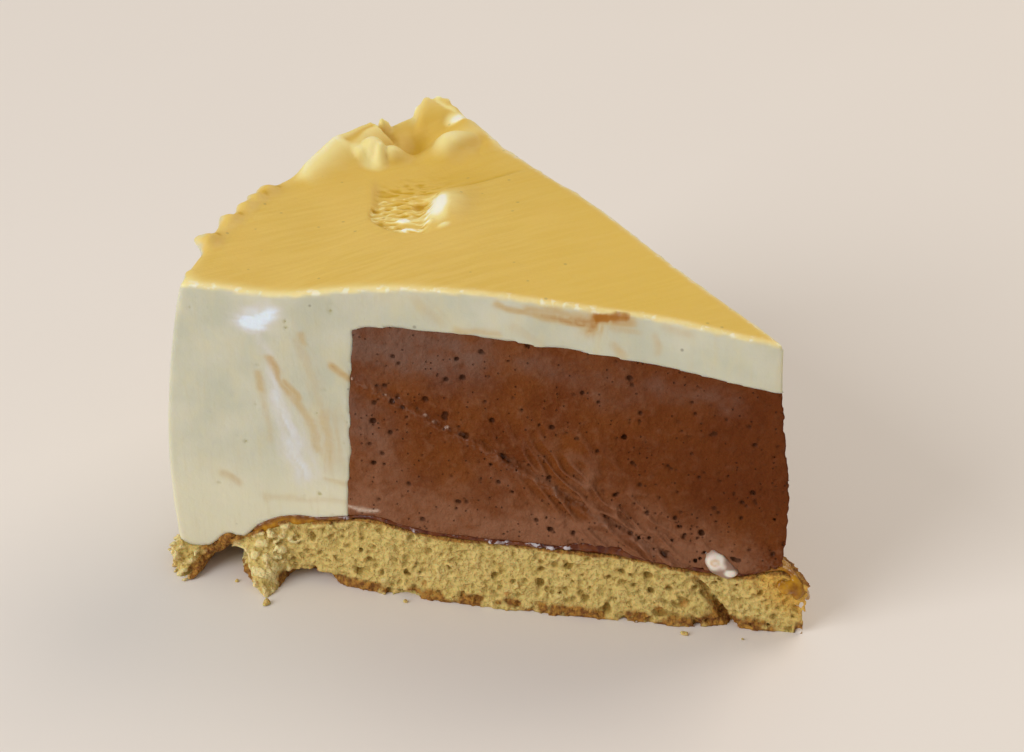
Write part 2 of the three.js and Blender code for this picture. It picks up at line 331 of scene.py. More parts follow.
# Soft mounds and hollows: place, half length, half width, turn, height, paleness and how flat the top is
# Paleness is partly fresh cream and partly painted light on lit lumps; below 0 it is painted shade in the
# hollows
Smear = namedtuple("Smear", "x y long wide turn height pale firm")
SMEARS = [
    Smear(-65.4, 56.9, 5.2, 3.1, 1.07, 3.1, 1.0, 1.4),  # oval bump
    Smear(-78.9, 50.9, 3.5, 2.5, 0.25, 3.9, 0.95, 1.4),  # pale lump
    Smear(-81.2, 49.2, 2.4, 2.0, 0.00, 2.7, 0.95, 1.3),  # its left lobe
    Smear(-77.0, 50.3, 1.8, 2.2, 0.20, 3.7, 1.0, 1.3),  # its right lobe
    Smear(-74.8, 51.3, 2.3, 2.0, 0.20, 2.9, 0.95, 1.4),  # small curl beside it
    Smear(-66.0, 64.2, 2.0, 1.1, 0.80, -0.9, 1.4, 1.2),  # small pale hollow in the far ridge
    Smear(-72.6, 56.4, 4.8, 2.2, 1.10, -1.3, -0.7, 1.2),  # valley between lump and bump
    Smear(-62.4, 57.2, 4.2, 1.7, 1.00, -0.4, -0.4, 1.2),  # hollow beyond the bump
    Smear(-78.3, 49.2, 3.5, 3.1, 0.00, 0.0, 0.95, 1.6),  # pale face of the lump
    Smear(-61.0, 32.4, 6.2, 3.4, 1.62, 1.8, 0.6, 1.2),  # knob
    Smear(-62.3, 30.8, 4.8, 2.1, 1.62, 0.0, 1.75, 1.1),  # its white face
    Smear(-65.8, 33.0, 5.0, 1.6, 1.60, -0.4, -0.2, 1.2),  # floor of the scoop under the knob
    Smear(-66.3, 34.6, 1.3, 1.0, 0.30, -0.9, -1.3, 1.2),  # pit beside the knob
    Smear(-66.4, 24.2, 2.0, 0.7, 0.20, 0.7, 1.2, 1.2),  # loose flecks along the torn patch
    Smear(-68.4, 27.6, 1.6, 0.6, 0.10, 0.5, 1.0, 1.2),
    Smear(-63.2, 25.8, 1.0, 0.9, 0.60, 0.9, 1.0, 1.2),
    Smear(-60.8, 24.2, 1.3, 0.7, 0.90, 0.7, 1.1, 1.2),
]

# Ridges and creases: ends, height at each end, half widths to the left of the line, to its right and past its
# ends, and paleness to the left and to the right
# Paleness below 0 is painted shade in the creases and gaps
Crest = namedtuple("Crest", "start end heights widths pale")
CRESTS = [
    Crest((-78.7, 59.1), (-77.6, 60.4), (4.0, 2.6), (1.1, 1.2, 1.0), (0.6, 0.6)),  # thin leaf at the rim
    Crest((-89.6, 40.8), (-85.3, 49.2), (1.0, 3.9), (1.8, 4.0, 2.0), (0.4, 0.8)),  # lower lump along the rim
    Crest((-85.3, 49.2), (-80.2, 57.2), (3.9, 4.3), (1.8, 4.0, 0.8), (0.4, 0.9)),
    Crest((-83.4, 50.6), (-80.2, 56.4), (-0.7, -1.1), (0.9, 0.9, 1.0), (-0.7, -1.0)),  # gap between the lumps
    Crest((-77.6, 60.4), (-74.6, 64.2), (1.1, 1.5), (1.6, 4.0, 1.4), (0.3, 0.1)),  # foot of the corner ridge
    Crest((-74.6, 64.2), (-72.5, 66.3), (1.5, 4.5), (1.8, 5.0, 1.2), (0.6, 0.4)),  # corner ridge
    Crest((-72.5, 66.3), (-68.6, 67.2), (4.5, 4.3), (2.0, 5.0, 1.8), (0.6, 0.35)),
    Crest((-68.6, 67.0), (-59.8, 59.8), (4.3, 0.9), (2.0, 3.4, 1.6), (0.3, 0.1)),  # its end along the far cut
    Crest((-69.6, 66.6), (-66.8, 65.4), (-0.4, -0.4), (0.5, 0.5, 0.8), (0.8, 0.8)),  # groove over the hollow
]

# The spatula took a scoop out of the top. It has a straight left edge, a fold on its right and a torn round
# end, with a knob of cream along one side.
SCOOP_DEPTH = 0.9
SCOOP_LEFT = ((-77.0, 44.9), (-74.0, 30.1))
FOLD = ((-62.1, 40.2), (-51.6, 47.9))
TORN_CENTRE = (-65.0, 32.0)
TORN_RADIUS = 9.9
KNOB_LINE = ((-60.6, 27.2), (-61.2, 39.2))

# Ruffles of cream pushed over the rim: angle from the front cut in degrees, and reach
RIM_RUFFLES = [
    (1.7, 0.0), (2.4, 0.4), (3.1, 0.0),
    (6.5, 0.0), (7.1, 0.6), (7.6, 2.3), (8.2, 2.7), (8.8, 2.5), (9.5, 1.2),
    (10.4, 0.8), (11.2, 0.9), (12.2, 1.5), (13.1, 2.1), (13.7, 1.4), (14.3, 0.8),
    (15.1, 0.9), (15.9, 1.6), (16.7, 1.4), (17.5, 1.1), (18.1, 1.8), (18.9, 1.3),
    (19.8, 2.1), (20.5, 1.6), (21.1, 0.8), (21.9, 0.4), (23.0, 0.2), (24.5, 0.0),
]
RUFFLE_RISE = 0.75  # how far a ruffle rises for each millimetre that it reaches out
RUFFLE_THICKNESS = 1.0
# the deep yellow in these gaps is painted shade
RIM_PITS = (9.7, 14.5, 19.2, 21.4)  # angles of the deep yellow gaps between ruffles


def rim_turn(x, y):
    """Angle from the front cut in degrees."""
    return np.degrees(np.arctan2(y, -x))


def ruffle(x, y):
    """How far the rim's ruffles reach out at the angle of a place."""
    turns = np.linspace(0, 46, 921)
    reach = np.interp(turns, *zip(*RIM_RUFFLES))
    weights = bell(np.linspace(-0.6, 0.6, 25), 0, 0.28)
    reach = np.convolve(reach, weights / weights.sum(), mode="same")
    turn = rim_turn(x, y)
    return np.interp(turn, turns, reach) * (1 + 0.2 * wave_noise(turn / 0.6, turn / 9, 29))


def ruffle_rise(x, y):
    """How far the top rises towards the rim's ruffles, which droop again past the rim."""
    past = np.hypot(x, y) - CAKE_RADIUS
    rise = RUFFLE_RISE * ruffle(x, y) * bell(np.minimum(past - 0.2, 0), 0, 1.5)
    return rise - 0.2 * np.clip(past - 0.4, 0, 4) ** 2


# The torn edge at the far corner, and how many round lumps lie along it
CORNER_EDGE = [(-74.0, 65.0), (-72.0, 66.6), (-69.4, 67.2), (-66.6, 65.8)]
CORNER_LUMPS = 9


def corner_lumps():
    """Places and radii of the round lumps along the torn edge at the far corner."""
    draw = np.random.default_rng(10)
    at = np.linspace(0, len(CORNER_EDGE) - 1, CORNER_LUMPS)
    x, y = (np.interp(at, range(len(CORNER_EDGE)), part) for part in zip(*CORNER_EDGE))
    x, y = x + draw.uniform(-0.5, 0.5, CORNER_LUMPS), y + draw.uniform(-0.6, 0.6, CORNER_LUMPS)
    z = cream_top(x, y) + draw.uniform(-0.6, 0.0, CORNER_LUMPS)
    return np.stack([x, y, z], axis=1), draw.uniform(0.4, 0.8, CORNER_LUMPS)


def left_of(start, end, x, y):
    """How far places lie to the left of the line from start to end."""
    dx, dy = np.subtract(end, start)
    return ((y - start[1]) * dx - (x - start[0]) * dy) / math.hypot(dx, dy)


def along_line(start, end, x, y):
    """How far along the line from start to end places lie."""
    dx, dy = np.subtract(end, start)
    return ((x - start[0]) * dx + (y - start[1]) * dy) / math.hypot(dx, dy)


def smear_form(smear, x, y):
    """Height and paleness that a smear gives places on the top."""
    along = (x - smear.x) * math.cos(smear.turn) + (y - smear.y) * math.sin(smear.turn)
    across = (y - smear.y) * math.cos(smear.turn) - (x - smear.x) * math.sin(smear.turn)
    shape = np.exp(-(((along / smear.long) ** 2 + (across / smear.wide) ** 2) ** smear.firm))
    return smear.height * shape, smear.pale * shape


def crest_form(crest, x, y):
    """Height and paleness that a ridge or crease gives places on the top."""
    left = left_of(crest.start, crest.end, x, y)
    along = along_line(crest.start, crest.end, x, y)
    length = math.dist(crest.start, crest.end)
    past = np.clip(along - length, 0, None) + np.clip(-along, 0, None)
    side = np.abs(left) / np.where(left > 0, crest.widths[0], crest.widths[1])
    shape = np.exp(-(side**1.9) - (past / crest.widths[2]) ** 2)
    pale = crest.pale[1] + (crest.pale[0] - crest.pale[1]) * smoothstep(left, -0.3, 0.6)
    return shape * np.interp(along, (0, length), crest.heights), shape * pale


def lumps(x, y):
    """Height and paleness of the lumps and ridges, of which the highest shows, less those of the hollows."""
    x, y = warped(x, y)
    raised, sunk, pale, dark = (0 * x for _ in range(4))
    forms = [smear_form(smear, x, y) for smear in SMEARS] + [crest_form(crest, x, y) for crest in CRESTS]
    for height, light in forms:
        raised, sunk = np.maximum(raised, height), sunk + np.minimum(height, 0)
        pale, dark = np.maximum(pale, light), dark + np.minimum(light, 0)
    return raised + sunk, pale + dark


def scooped(x, y):
    """How much of the scoop's smooth part, and of its torn end, a place belongs to."""
    behind_fold = left_of(*FOLD, x, y)
    smooth = smoothstep(left_of(*SCOOP_LEFT, x, y), -0.6, 0.9) * plateau(behind_fold, -1.4, 1.2, 6, 12)
    smooth = smooth * (1 - smoothstep(along_line(*FOLD, x, y), 4, 19))
    out = np.hypot(x - TORN_CENTRE[0], y - TORN_CENTRE[1]) + 0.7 * wave_noise(x / 1.8, y / 1.8, 21)
    torn = (1 - smoothstep(out, TORN_RADIUS - 0.7, TORN_RADIUS + 0.2)) * (1 - smoothstep(y, 36, 41))
    return smooth, torn * smoothstep(left_of(*KNOB_LINE, x, y), 2.0, 3.8)


def wrinkled(x, y):
    """Fine wrinkles, from about -1 to 1, of the scoop's torn end and of a patch behind it."""
    smooth, torn = scooped(x, y)
    share = np.maximum(torn, 0.9 * smooth * bell(np.hypot(x + 69.5, y - 38.5), 0, 6))
    waves = 0.8 * wave_noise(x / 2.6 + y / 7, y / 0.75 - x / 11, 24) + 0.6 * wave_noise(x / 1.2, y / 0.5, 25)
    return share * (0.7 - 2 * np.abs(waves))


def warped(x, y):
    """Places pushed about a little, so that nothing on the top is a plain round form."""
    x_push = 0.8 * wave_noise(x / 5, y / 5, 22) + 0.15 * wave_noise(x / 1.7, y / 1.7, 31)
    y_push = 0.8 * wave_noise(x / 5, y / 5, 23) + 0.15 * wave_noise(x / 1.7, y / 1.7, 32)
    return x + x_push, y + y_push


def cream_top(x, y):
    """Height of the vanilla cream's top."""
    reach = np.hypot(x, y) / CAKE_RADIUS
    height = (
        RIM_HEIGHT
        + CROWN * bell(reach, 0.52, 0.25)
        - TIP_SAG * bell(reach, 0, 0.1)
        - RIM_DIP * bell(reach, 0.84, 0.07)
    )
    smooth, torn = scooped(x, y)
    fan = wave_noise(left_of(*FOLD, x, y) / 0.75, along_line(*FOLD, x, y) / 15, 26)
    height = height - SCOOP_DEPTH * np.maximum(smooth, torn) + 0.1 * smooth * fan
    height = height + 0.26 * wrinkled(x, y)
    height = height + 0.025 * wave_noise(x / 14 + y / 18, y / 1.1 - x / 1.4, 27)
    height = height + 0.12 * wave_noise(x / 8, y / 8, 28)
    return height + lumps(x, y)[0] + ruffle_rise(x, y)


def top_paleness(x, y):
    """How pale the top is: above 0 on fresh lumps and at the rim, partly as painted light on lit lumps and
    wrinkle crests; below 0 as painted shade in the deep yellow valleys, wrinkle troughs and gaps between
    ruffles, with a painted shadow along the fold.
    """
    smooth, torn = scooped(x, y)
    pale = 0.3 * smoothstep(np.hypot(x, y), CAKE_RADIUS - 4, CAKE_RADIUS - 0.5)
    # the wrinkles are paler on their crests and deeper in their troughs: painted light and shade
    pale = pale + 0.95 * wrinkled(x, y) - 0.25 * smooth * (1 - torn) + 0.2 * torn
    shadowed = bell(left_of(*FOLD, x, y), 0.7, 0.9) * plateau(along_line(*FOLD, x, y), -3, 1, 8, 20)
    out = np.hypot(x, y) - CAKE_RADIUS
    # painted shade in the gaps between ruffles
    pits = sum(bell(rim_turn(x, y), pit, 0.4) for pit in RIM_PITS) * bell(out, -0.5, 0.9)
    return pale - 0.35 * shadowed + lumps(x, y)[1] + 0.25 * smoothstep(out, 0.2, 1.5) - pits


# Places on the two cuts


def on_front(along, z, inward):
    """Points on the front cut, or `inward` of it, by distance from the axis and height."""
    return np.stack([-along, FRONT_LEAN * lean(along / CAKE_RADIUS, z) + inward, z], axis=-1)


def on_far(along, z, inward):
    """The same for the far cut."""
    out = FAR_LEAN * lean(along / CAKE_RADIUS, z) + inward
    x = -along * math.cos(SLICE_ANGLE) - out * FAR_NORMAL[0]
    y = along * math.sin(SLICE_ANGLE) - out * FAR_NORMAL[1]
    return np.stack([x, y, z], axis=-1)


def far_length(x):
    """Distance from the axis of places on the far cut."""
    return -x / math.cos(SLICE_ANGLE)


def bubbles_on_cuts(draw, count, along_range, z_range, small, large, sunk=(-0.2, 0.5)):
    """Centres and radii of bubbles that the two cuts have opened."""
    centres, radii = [], []
    for on_cut in (on_front, on_far):
        along = draw.uniform(*along_range, count)
        z = draw.uniform(*z_range, count)
        radius = small + (large - small) * draw.random(count) ** 3
        centres.append(on_cut(along, z, radius * draw.uniform(*sunk, count)))
        radii.append(radius)
    return np.concatenate(centres), np.concatenate(radii)


# A soft stroke on a cut: its ends, by distance from the axis and height, its half width and its strength
Stroke = namedtuple("Stroke", "start end wide strength")


def stroke_amount(strokes, along, z, seed, streaks=0.5):
    """How much of soft strokes, given as lines on a cut, is at each place."""
    along = along + 0.5 * wave_noise(along / 2.5, z / 2.5, seed)
    z = z + 0.5 * wave_noise(along / 2.5, z / 2.5, seed + 1)
    total = np.zeros_like(along)
    for stroke in strokes:
        line = np.subtract(stroke.end, stroke.start)
        length = math.hypot(*line)
        passed = ((along - stroke.start[0]) * line[0] + (z - stroke.start[1]) * line[1]) / length
        aside = ((along - stroke.start[0]) * line[1] - (z - stroke.start[1]) * line[0]) / length
        past = passed - np.clip(passed, 0, length)
        streaked = 0.85 + streaks * wave_noise(passed / 5, aside / 0.5, seed + 2)
        total = np.maximum(total, stroke.strength * bell(np.hypot(aside, past), 0, stroke.wide) * streaked)
    return total * (1 + 0.15 * wave_noise(along / 0.5, z / 0.6, seed + 3))


# Meshes


def new_piece(name, points, faces, finish, slot, replaces=(), hidden=None, **values):
    """A smooth-shaded mesh that rides on the slice, with a number at each point for each of `values`."""
    mesh = bpy.data.meshes.new(name)
    corners = faces.shape[1]
    mesh.vertices.add(len(points))
    mesh.vertices.foreach_set("co", ((points + TIP_PLACE) * MM).astype(np.float32).ravel())
    mesh.loops.add(faces.size)
    mesh.loops.foreach_set("vertex_index", faces.astype(np.int32).ravel())
    mesh.polygons.add(len(faces))
    mesh.polygons.foreach_set("loop_start", np.arange(0, faces.size, corners, dtype=np.int32))
    mesh.update(calc_edges=True)
    for key, numbers in values.items():
        layer = mesh.attributes.new(key, "FLOAT", "POINT")
        layer.data.foreach_set("value", np.asarray(numbers, np.float32))
    piece = bpy.data.objects.new(name, mesh)
    bpy.context.scene.collection.objects.link(piece)
    if hidden is not None:
        thin_out(piece, hidden, faces)
    piece.data.polygons.foreach_set("use_smooth", np.ones(len(piece.data.polygons), bool))
    piece.data.materials.append(finish)
    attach(piece, "root")
    if replaces:
        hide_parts(*replaces)


def thin_out(piece, hidden, faces):
    """Leaves far fewer faces where the surface is hidden inside the slice."""
    group = piece.vertex_groups.new(name="hidden")
    group.add(np.flatnonzero(hidden).tolist(), 1.0, "REPLACE")
    share = hidden[faces].all(axis=1).mean()
    thinner = piece.modifiers.new("thinner", "DECIMATE")
    thinner.ratio = 1 - (1 - HIDDEN_FACES_KEPT) * share
    thinner.vertex_group = group.name
    evaluated = piece.evaluated_get(bpy.context.evaluated_depsgraph_get())
    thick = piece.data
    piece.data = bpy.data.meshes.new_from_object(evaluated)
    piece.modifiers.clear()
    piece.vertex_groups.clear()
    bpy.data.meshes.remove(thick)


# The vanilla cream

# Orange-brown smears on the front cut
FRONT_STAINS = [
    Stroke((85.3, 44.2), (83.7, 40.6), 0.9, 0.60),
    Stroke((83.7, 40.6), (82.0, 37.6), 0.8, 0.50),
    Stroke((82.4, 40.0), (80.6, 36.6), 0.7, 0.50),
    Stroke((82.0, 37.6), (78.2, 32.7), 1.0, 0.42),
    Stroke((78.2, 32.7), (77.0, 27.0), 1.4, 0.36),
    Stroke((87.2, 41.0), (86.4, 37.6), 0.7, 0.42),
    Stroke((86.4, 37.6), (85.1, 28.0), 0.9, 0.24),
    Stroke((75.8, 33.5), (75.0, 25.5), 3.2, 0.34),
    Stroke((79.6, 47.0), (76.5, 36.0), 1.8, 0.22),
    Stroke((79.4, 49.0), (78.8, 47.4), 0.9, 0.40),
    Stroke((74.2, 43.0), (71.4, 40.9), 0.8, 0.62),
    Stroke((94.0, 20.4), (91.4, 18.6), 0.9, 0.34),
    Stroke((87.0, 16.2), (73.2, 17.2), 0.9, 0.22),
    Stroke((76.0, 21.4), (72.6, 21.0), 0.8, 0.28),
    Stroke((47.5, 56.8), (40.0, 55.4), 0.8, 0.55),
    Stroke((40.0, 55.5), (32.2, 54.7), 0.9, 0.72),
    Stroke((42.0, 56.6), (31.5, 56.2), 1.3, 0.50),
    Stroke((30.6, 56.3), (29.6, 56.4), 1.4, 1.40),
    Stroke((30.4, 56.5), (26.0, 56.7), 0.9, 1.15),
    Stroke((29.0, 56.2), (25.4, 56.0), 1.2, 0.60),
    Stroke((31.4, 55.6), (31.6, 54.2), 2.0, 0.75),
    Stroke((35.0, 55.6), (31.4, 55.4), 1.2, 0.70),
    Stroke((30.0, 55.6), (24.6, 54.4), 1.4, 0.30),
    Stroke((60.0, 56.0), (57.0, 53.0), 2.2, 0.24),
    Stroke((53.5, 51.6), (47.0, 51.2), 1.0, 0.36),
    Stroke((27.6, 51.4), (26.6, 49.6), 1.2, 0.34),
    Stroke((21.2, 53.6), (20.4, 50.6), 1.0, 0.28),
    Stroke((19.0, 55.6), (16.0, 55.2), 1.4, 0.24),
    Stroke((44.0, 53.0), (40.0, 50.6), 1.6, 0.20),
]

# Milky patches there; the brightest of them, round a spot that has no bubbles, is a painted bluish highlight
MILKY_SPOT = (87.0, 51.4)
MILKY_SPOT_RADIUS = 4
FRONT_MILKY = [
    Stroke((86.8, 48.8), (84.8, 43.0), 1.4, 0.55),
    Stroke((84.8, 43.0), (83.6, 36.5), 1.5, 0.80),
    Stroke((83.6, 36.5), (81.8, 27.7), 2.3, 0.95),
    Stroke((81.8, 27.7), (80.0, 22.5), 3.0, 0.95),
    Stroke((88.6, 51.0), (86.8, 50.9), 2.1, 3.00),
    Stroke((86.6, 51.6), (84.6, 52.3), 1.8, 2.40),
]

# The same on the far cut
FAR_STAINS = [
    Stroke((90.0, 38.0), (84.0, 22.0), 0.7, 0.5),
    Stroke((80.0, 44.0), (77.0, 30.0), 1.8, 0.25),
    Stroke((60.0, 55.5), (50.0, 54.0), 0.7, 0.6),
    Stroke((30.0, 54.0), (22.0, 52.0), 0.8, 0.5),
]
FAR_MILKY = [Stroke((86.0, 44.0), (82.0, 24.0), 1.8, 0.9)]

VANILLA_BUBBLES = 80  # on each cut


def vanilla_sides(block, cuts):
    """Distance out of the cuts and of the moulded side with its ruffles, a little uneven."""
    uneven = 0.12 * block.noise(9, 32) + 0.05 * block.noise((2.4, 2.4, 5), 33)
    sides = common(cuts.front + uneven, cuts.far + uneven, 0.4)
    reach = ruffle(block.x, block.y)
    middle = RIM_HEIGHT - 0.5 + 0.6 * RUFFLE_RISE * reach
    ruffled = 1.15 * reach * bell(block.z, middle, RUFFLE_THICKNESS)
    return common(sides, cuts.rim - ruffled + 0.6 * uneven, 0.6)


def vanilla_body(block, cuts, edge, top):
    """The cream with a raised lip along the cuts' upper edges, down to the jam or the bare sponge."""
    field = common(vanilla_sides(block, cuts), top, 1.3)
    lip = np.hypot(edge + 0.4, top + 0.6) - 0.2 - 0.28 * block.noise(2.0, 36) - 0.22 * block.noise(0.9, 37)
    field = joined(field, np.maximum(lip, cuts.rim + 0.3), 0.3)
    foot = sponge_top(cuts.reach, block.x, block.y) + JAM_LIFT + 0.1 - 0.9 * jam_missing(block.x, block.y)
    foot = foot + 0.2 * block.noise(1.5, 34)
    return common(field, foot - block.z, 0.5)


def vanilla_cream(finish):
    """A cap over the chocolate insert and a thick wall round it."""
    draw = np.random.default_rng(3)
    block = Block((-107, -4, 3), (7, 78, 65), VANILLA_CELL)
    cuts = slice_cuts(block)
    edge = np.maximum(cuts.front, cuts.far)
    top = block.z - cream_top(block.x, block.y)
    body = vanilla_body(block, cuts, edge, top)
    lumpy = body.copy()
    block.add_lumps(lumpy, *corner_lumps(), soft=0.5, limit=edge + 0.25)
    field = lumpy.copy()
    centres, radii = bubbles_on_cuts(draw, VANILLA_BUBBLES, (72, 99), (12, 55), 0.24, 0.44, (-0.6, 0.0))
    from_spot = np.hypot(centres[:, 0] + MILKY_SPOT[0], centres[:, 2] - MILKY_SPOT[1])
    clear = from_spot > MILKY_SPOT_RADIUS
    block.cut_bubbles(field, centres[clear], radii[clear])
    insert = insert_field(block, cuts.reach)
    points, faces = block.skin(np.maximum(field, -insert))
    at = points.astype(np.float32)
    x, y, z = at.T
    depth = block.sample(top, at) + 0.2 * wave_noise(x / 1.6, y / 1.6 + z, 39)
    front, far = block.sample(cuts.front, at), block.sample(cuts.far, at)
    nearest = np.maximum(front, far)
    near_front, near_far = (bell(np.minimum(away + 0.3, 0), 0, 0.6) for away in (front, far))
    # paler band along the cuts' upper edge towards the rim end: painted light on the rounded edge
    pale = top_paleness(x, y) + 0.5 * bell(np.minimum(nearest + 0.5, 0), 0, 2.4) * smoothstep(-x, 30, 70)

    def strokes(on_the_front, on_the_far, seed):
        at_front = near_front * stroke_amount(on_the_front, -x, z, seed)
        return at_front + near_far * stroke_amount(on_the_far, np.hypot(x, y), z, seed + 1)

    new_piece(
        "vanilla_cream_slice", points, faces, finish, "vanilla", ["vanilla_cream"],
        hidden=(nearest < -3) & (block.sample(cuts.rim, at) < -3) & (depth < -3),
        skin=smoothstep(depth, -0.9, -0.2),
        # lip: painted highlight along the cuts' rounded upper edge
        lip=bell(np.minimum(nearest + 0.45, 0), 0, 0.6) * bell(depth, -0.4, 0.8),
        # paler where lumps and ruffles stand out from the body: fresh cream, partly painted light on their
        # tips
        pale=pale + 0.45 * smoothstep(block.sample(body, at), 0.15, 0.8),
        # darkening inside the opened bubbles: painted shade
        pore=smoothstep(-block.sample(lumpy, at), 0.03, 0.18) * (block.sample(insert, at) > 0.5),
        stain=strokes(FRONT_STAINS, FAR_STAINS, 35),
        # milky patches, with a painted bluish highlight at the brightest of them
        milky=strokes(FRONT_MILKY, FAR_MILKY, 37),
    )


# The chocolate cream

# The crease that the knife left across the chocolate: height at the axis, slope, and how much it bends
FRONT_CREASE = (4.8, 0.506, 0.95)
FAR_CREASE = (40.0, -0.35, 0.8)
DRAG_TURN = math.radians(55)  # the way the knife dragged the lines beside it

# Beads along the front crease, painted pale as glints, and pits darkened with painted shade: the beads'
# distances from the axis, and how many pits
CREASE_BEADS = (71.2, 68.8, 65.6, 58.9, 57.6, 55.1, 52.9, 50.7, 47.6, 43.4, 37.2, 29.5, 21.0)
CREASE_PITS = 46

CHOCOLATE_BUBBLES = 330  # on each cut
TIP_BUBBLES = 170  # more of them near the tip


def crease_height(along, crease):
    """Height of a crease at a distance from the axis."""
    level, slope, bend = crease
    return level + slope * along + bend * np.sin(math.pi * (along - 25) / 60)


def crease_distance(along, z, crease):
    """How far places on a cut lie above the crease."""
    return (z - crease_height(along, crease)) / math.hypot(1, crease[1])


Relief = namedtuple("Relief", "height groove lines")


def chocolate_relief(along, z, crease, seed):
    """How far the cut chocolate stands out, how deep its crease is, and the lines that the knife dragged."""
    above = crease_distance(along, z, crease) + 0.6 * wave_noise(along / 7, z / 7, seed + 8)
    away = above + 0.3 * wave_noise(along / 1.6, z / 1.6, seed)
    away = away + 0.15 * wave_noise(along / 0.6, z / 0.6, seed + 9)
    strength = 0.6 + 0.4 * plateau(along, 8, 18, 42, 60)
    strength = strength * (0.9 + 0.3 * wave_noise(along / 3.5, z / 3.5, seed + 7))
    rolled = smoothstep(-away, -0.4, 0.6) * np.exp(-np.clip(-away, 0, None) / 3.5)
    groove = bell(away, 0.35, 0.4) * strength
    beads = bell(away, -0.5, 0.7) * np.clip(wave_noise(along / 1.1, z / 1.1, seed + 2), 0, 1)
    across = along * math.sin(DRAG_TURN) - z * math.cos(DRAG_TURN)
    lengthways = along * math.cos(DRAG_TURN) + z * math.sin(DRAG_TURN)
    bowed = across + 0.008 * (lengthways - 45) ** 2 + 0.9 * wave_noise(along / 4, z / 4, seed + 10)
    drags = wave_noise(bowed / 1.5, lengthways / 6, seed + 3)
    drags = drags + 0.4 * wave_noise(bowed / 0.8, z / 4, seed + 5)
    lines = smoothstep(0.6 - np.abs(drags), 0, 0.6) * bell(along, 28, 17) * bell(above, 1, 9)
    faint = wave_noise(along / 10 - z / 12, z / 1.3 + along / 3.2, seed + 4)
    height = strength * 0.5 * rolled - 0.4 * groove + 0.35 * beads + 0.8 * lines
    return Relief(height + 0.08 * faint + 0.1 * wave_noise(along / 3, z / 3, seed + 6), groove, lines)


# Where the chocolate is painted greyer: a painted sheen
FRONT_SMEARED = [
    Stroke((71.0, 48.5), (52.0, 46.0), 6.0, 0.95),
    Stroke((52.0, 47.5), (8.0, 43.5), 3.2, 0.50),
    Stroke((71.0, 37.0), (66.0, 22.0), 6.0, 0.80),
    Stroke((70.0, 18.0), (40.0, 14.0), 7.0, 0.95),
    Stroke((40.0, 16.0), (8.0, 12.0), 5.5, 1.15),
    Stroke((32.0, 23.0), (12.0, 17.0), 5.0, 0.65),
    Stroke((48.0, 26.0), (24.0, 16.5), 4.0, 0.55),
    Stroke((36.0, 46.0), (27.0, 41.0), 3.2, 0.45),
]
FAR_SMEARED = [Stroke((66.0, 46.0), (40.0, 40.0), 6.0, 0.8), Stroke((66.0, 17.0), (14.0, 14.0), 6.0, 0.9)]

# Cream drawn over the insert's lower corner
FRONT_CREAM_LINE = [Stroke((72.8, 16.0), (66.8, 16.4), 0.24, 1.0)]


def chocolate_body(block, cuts, insert):
    """The insert without its bubbles: two cuts in relief, tucked in a little where it meets the vanilla."""
    uneven = 0.08 * block.noise(6, 41) + 0.1 * block.noise(1.3, 42) + 0.08 * block.noise(0.6, 44)
    tucked = 0.06 + uneven + 0.5 * smoothstep(insert, -0.1, 0.5)
    even = smoothstep(insert, -2.5, -0.3) - 1
    front = cuts.front + tucked + even * chocolate_relief(-block.x, block.z, FRONT_CREASE, 43).height
    far = cuts.far + tucked + even * chocolate_relief(far_length(block.x), block.z, FAR_CREASE, 53).height
    body = common(common(front, far, 0.6), insert - INSERT_OVERLAP, 0.2)
    foot = sponge_top(cuts.reach, block.x, block.y) + JAM_LIFT + 0.2 + jam_pool(block.x, block.y)
    return common(body, foot - block.z + 0.4 * uneven, 0.7)


def cut_chocolate_bubbles(block, field, draw):
    """Takes the bubbles on the cuts, and the pits along the crease, out of the insert."""
    ragged = 0.5 * block.noise(0.7, 45)
    bubbles = bubbles_on_cuts(draw, CHOCOLATE_BUBBLES, (-1, 71), (12, 51), 0.2, 0.5)
    block.cut_bubbles(field, *bubbles, uneven=ragged)
    bubbles = bubbles_on_cuts(draw, TIP_BUBBLES, (-3, 27), (11, 47), 0.2, 0.48)
    block.cut_bubbles(field, *bubbles, uneven=ragged)
    along = draw.uniform(12, 71, CREASE_PITS)
    height = crease_height(along, FRONT_CREASE) + draw.uniform(0.2, 1.5, CREASE_PITS)
    pits = on_front(along, height, 0.1)
    block.cut_bubbles(field, pits, draw.uniform(0.18, 0.42, CREASE_PITS), uneven=ragged)


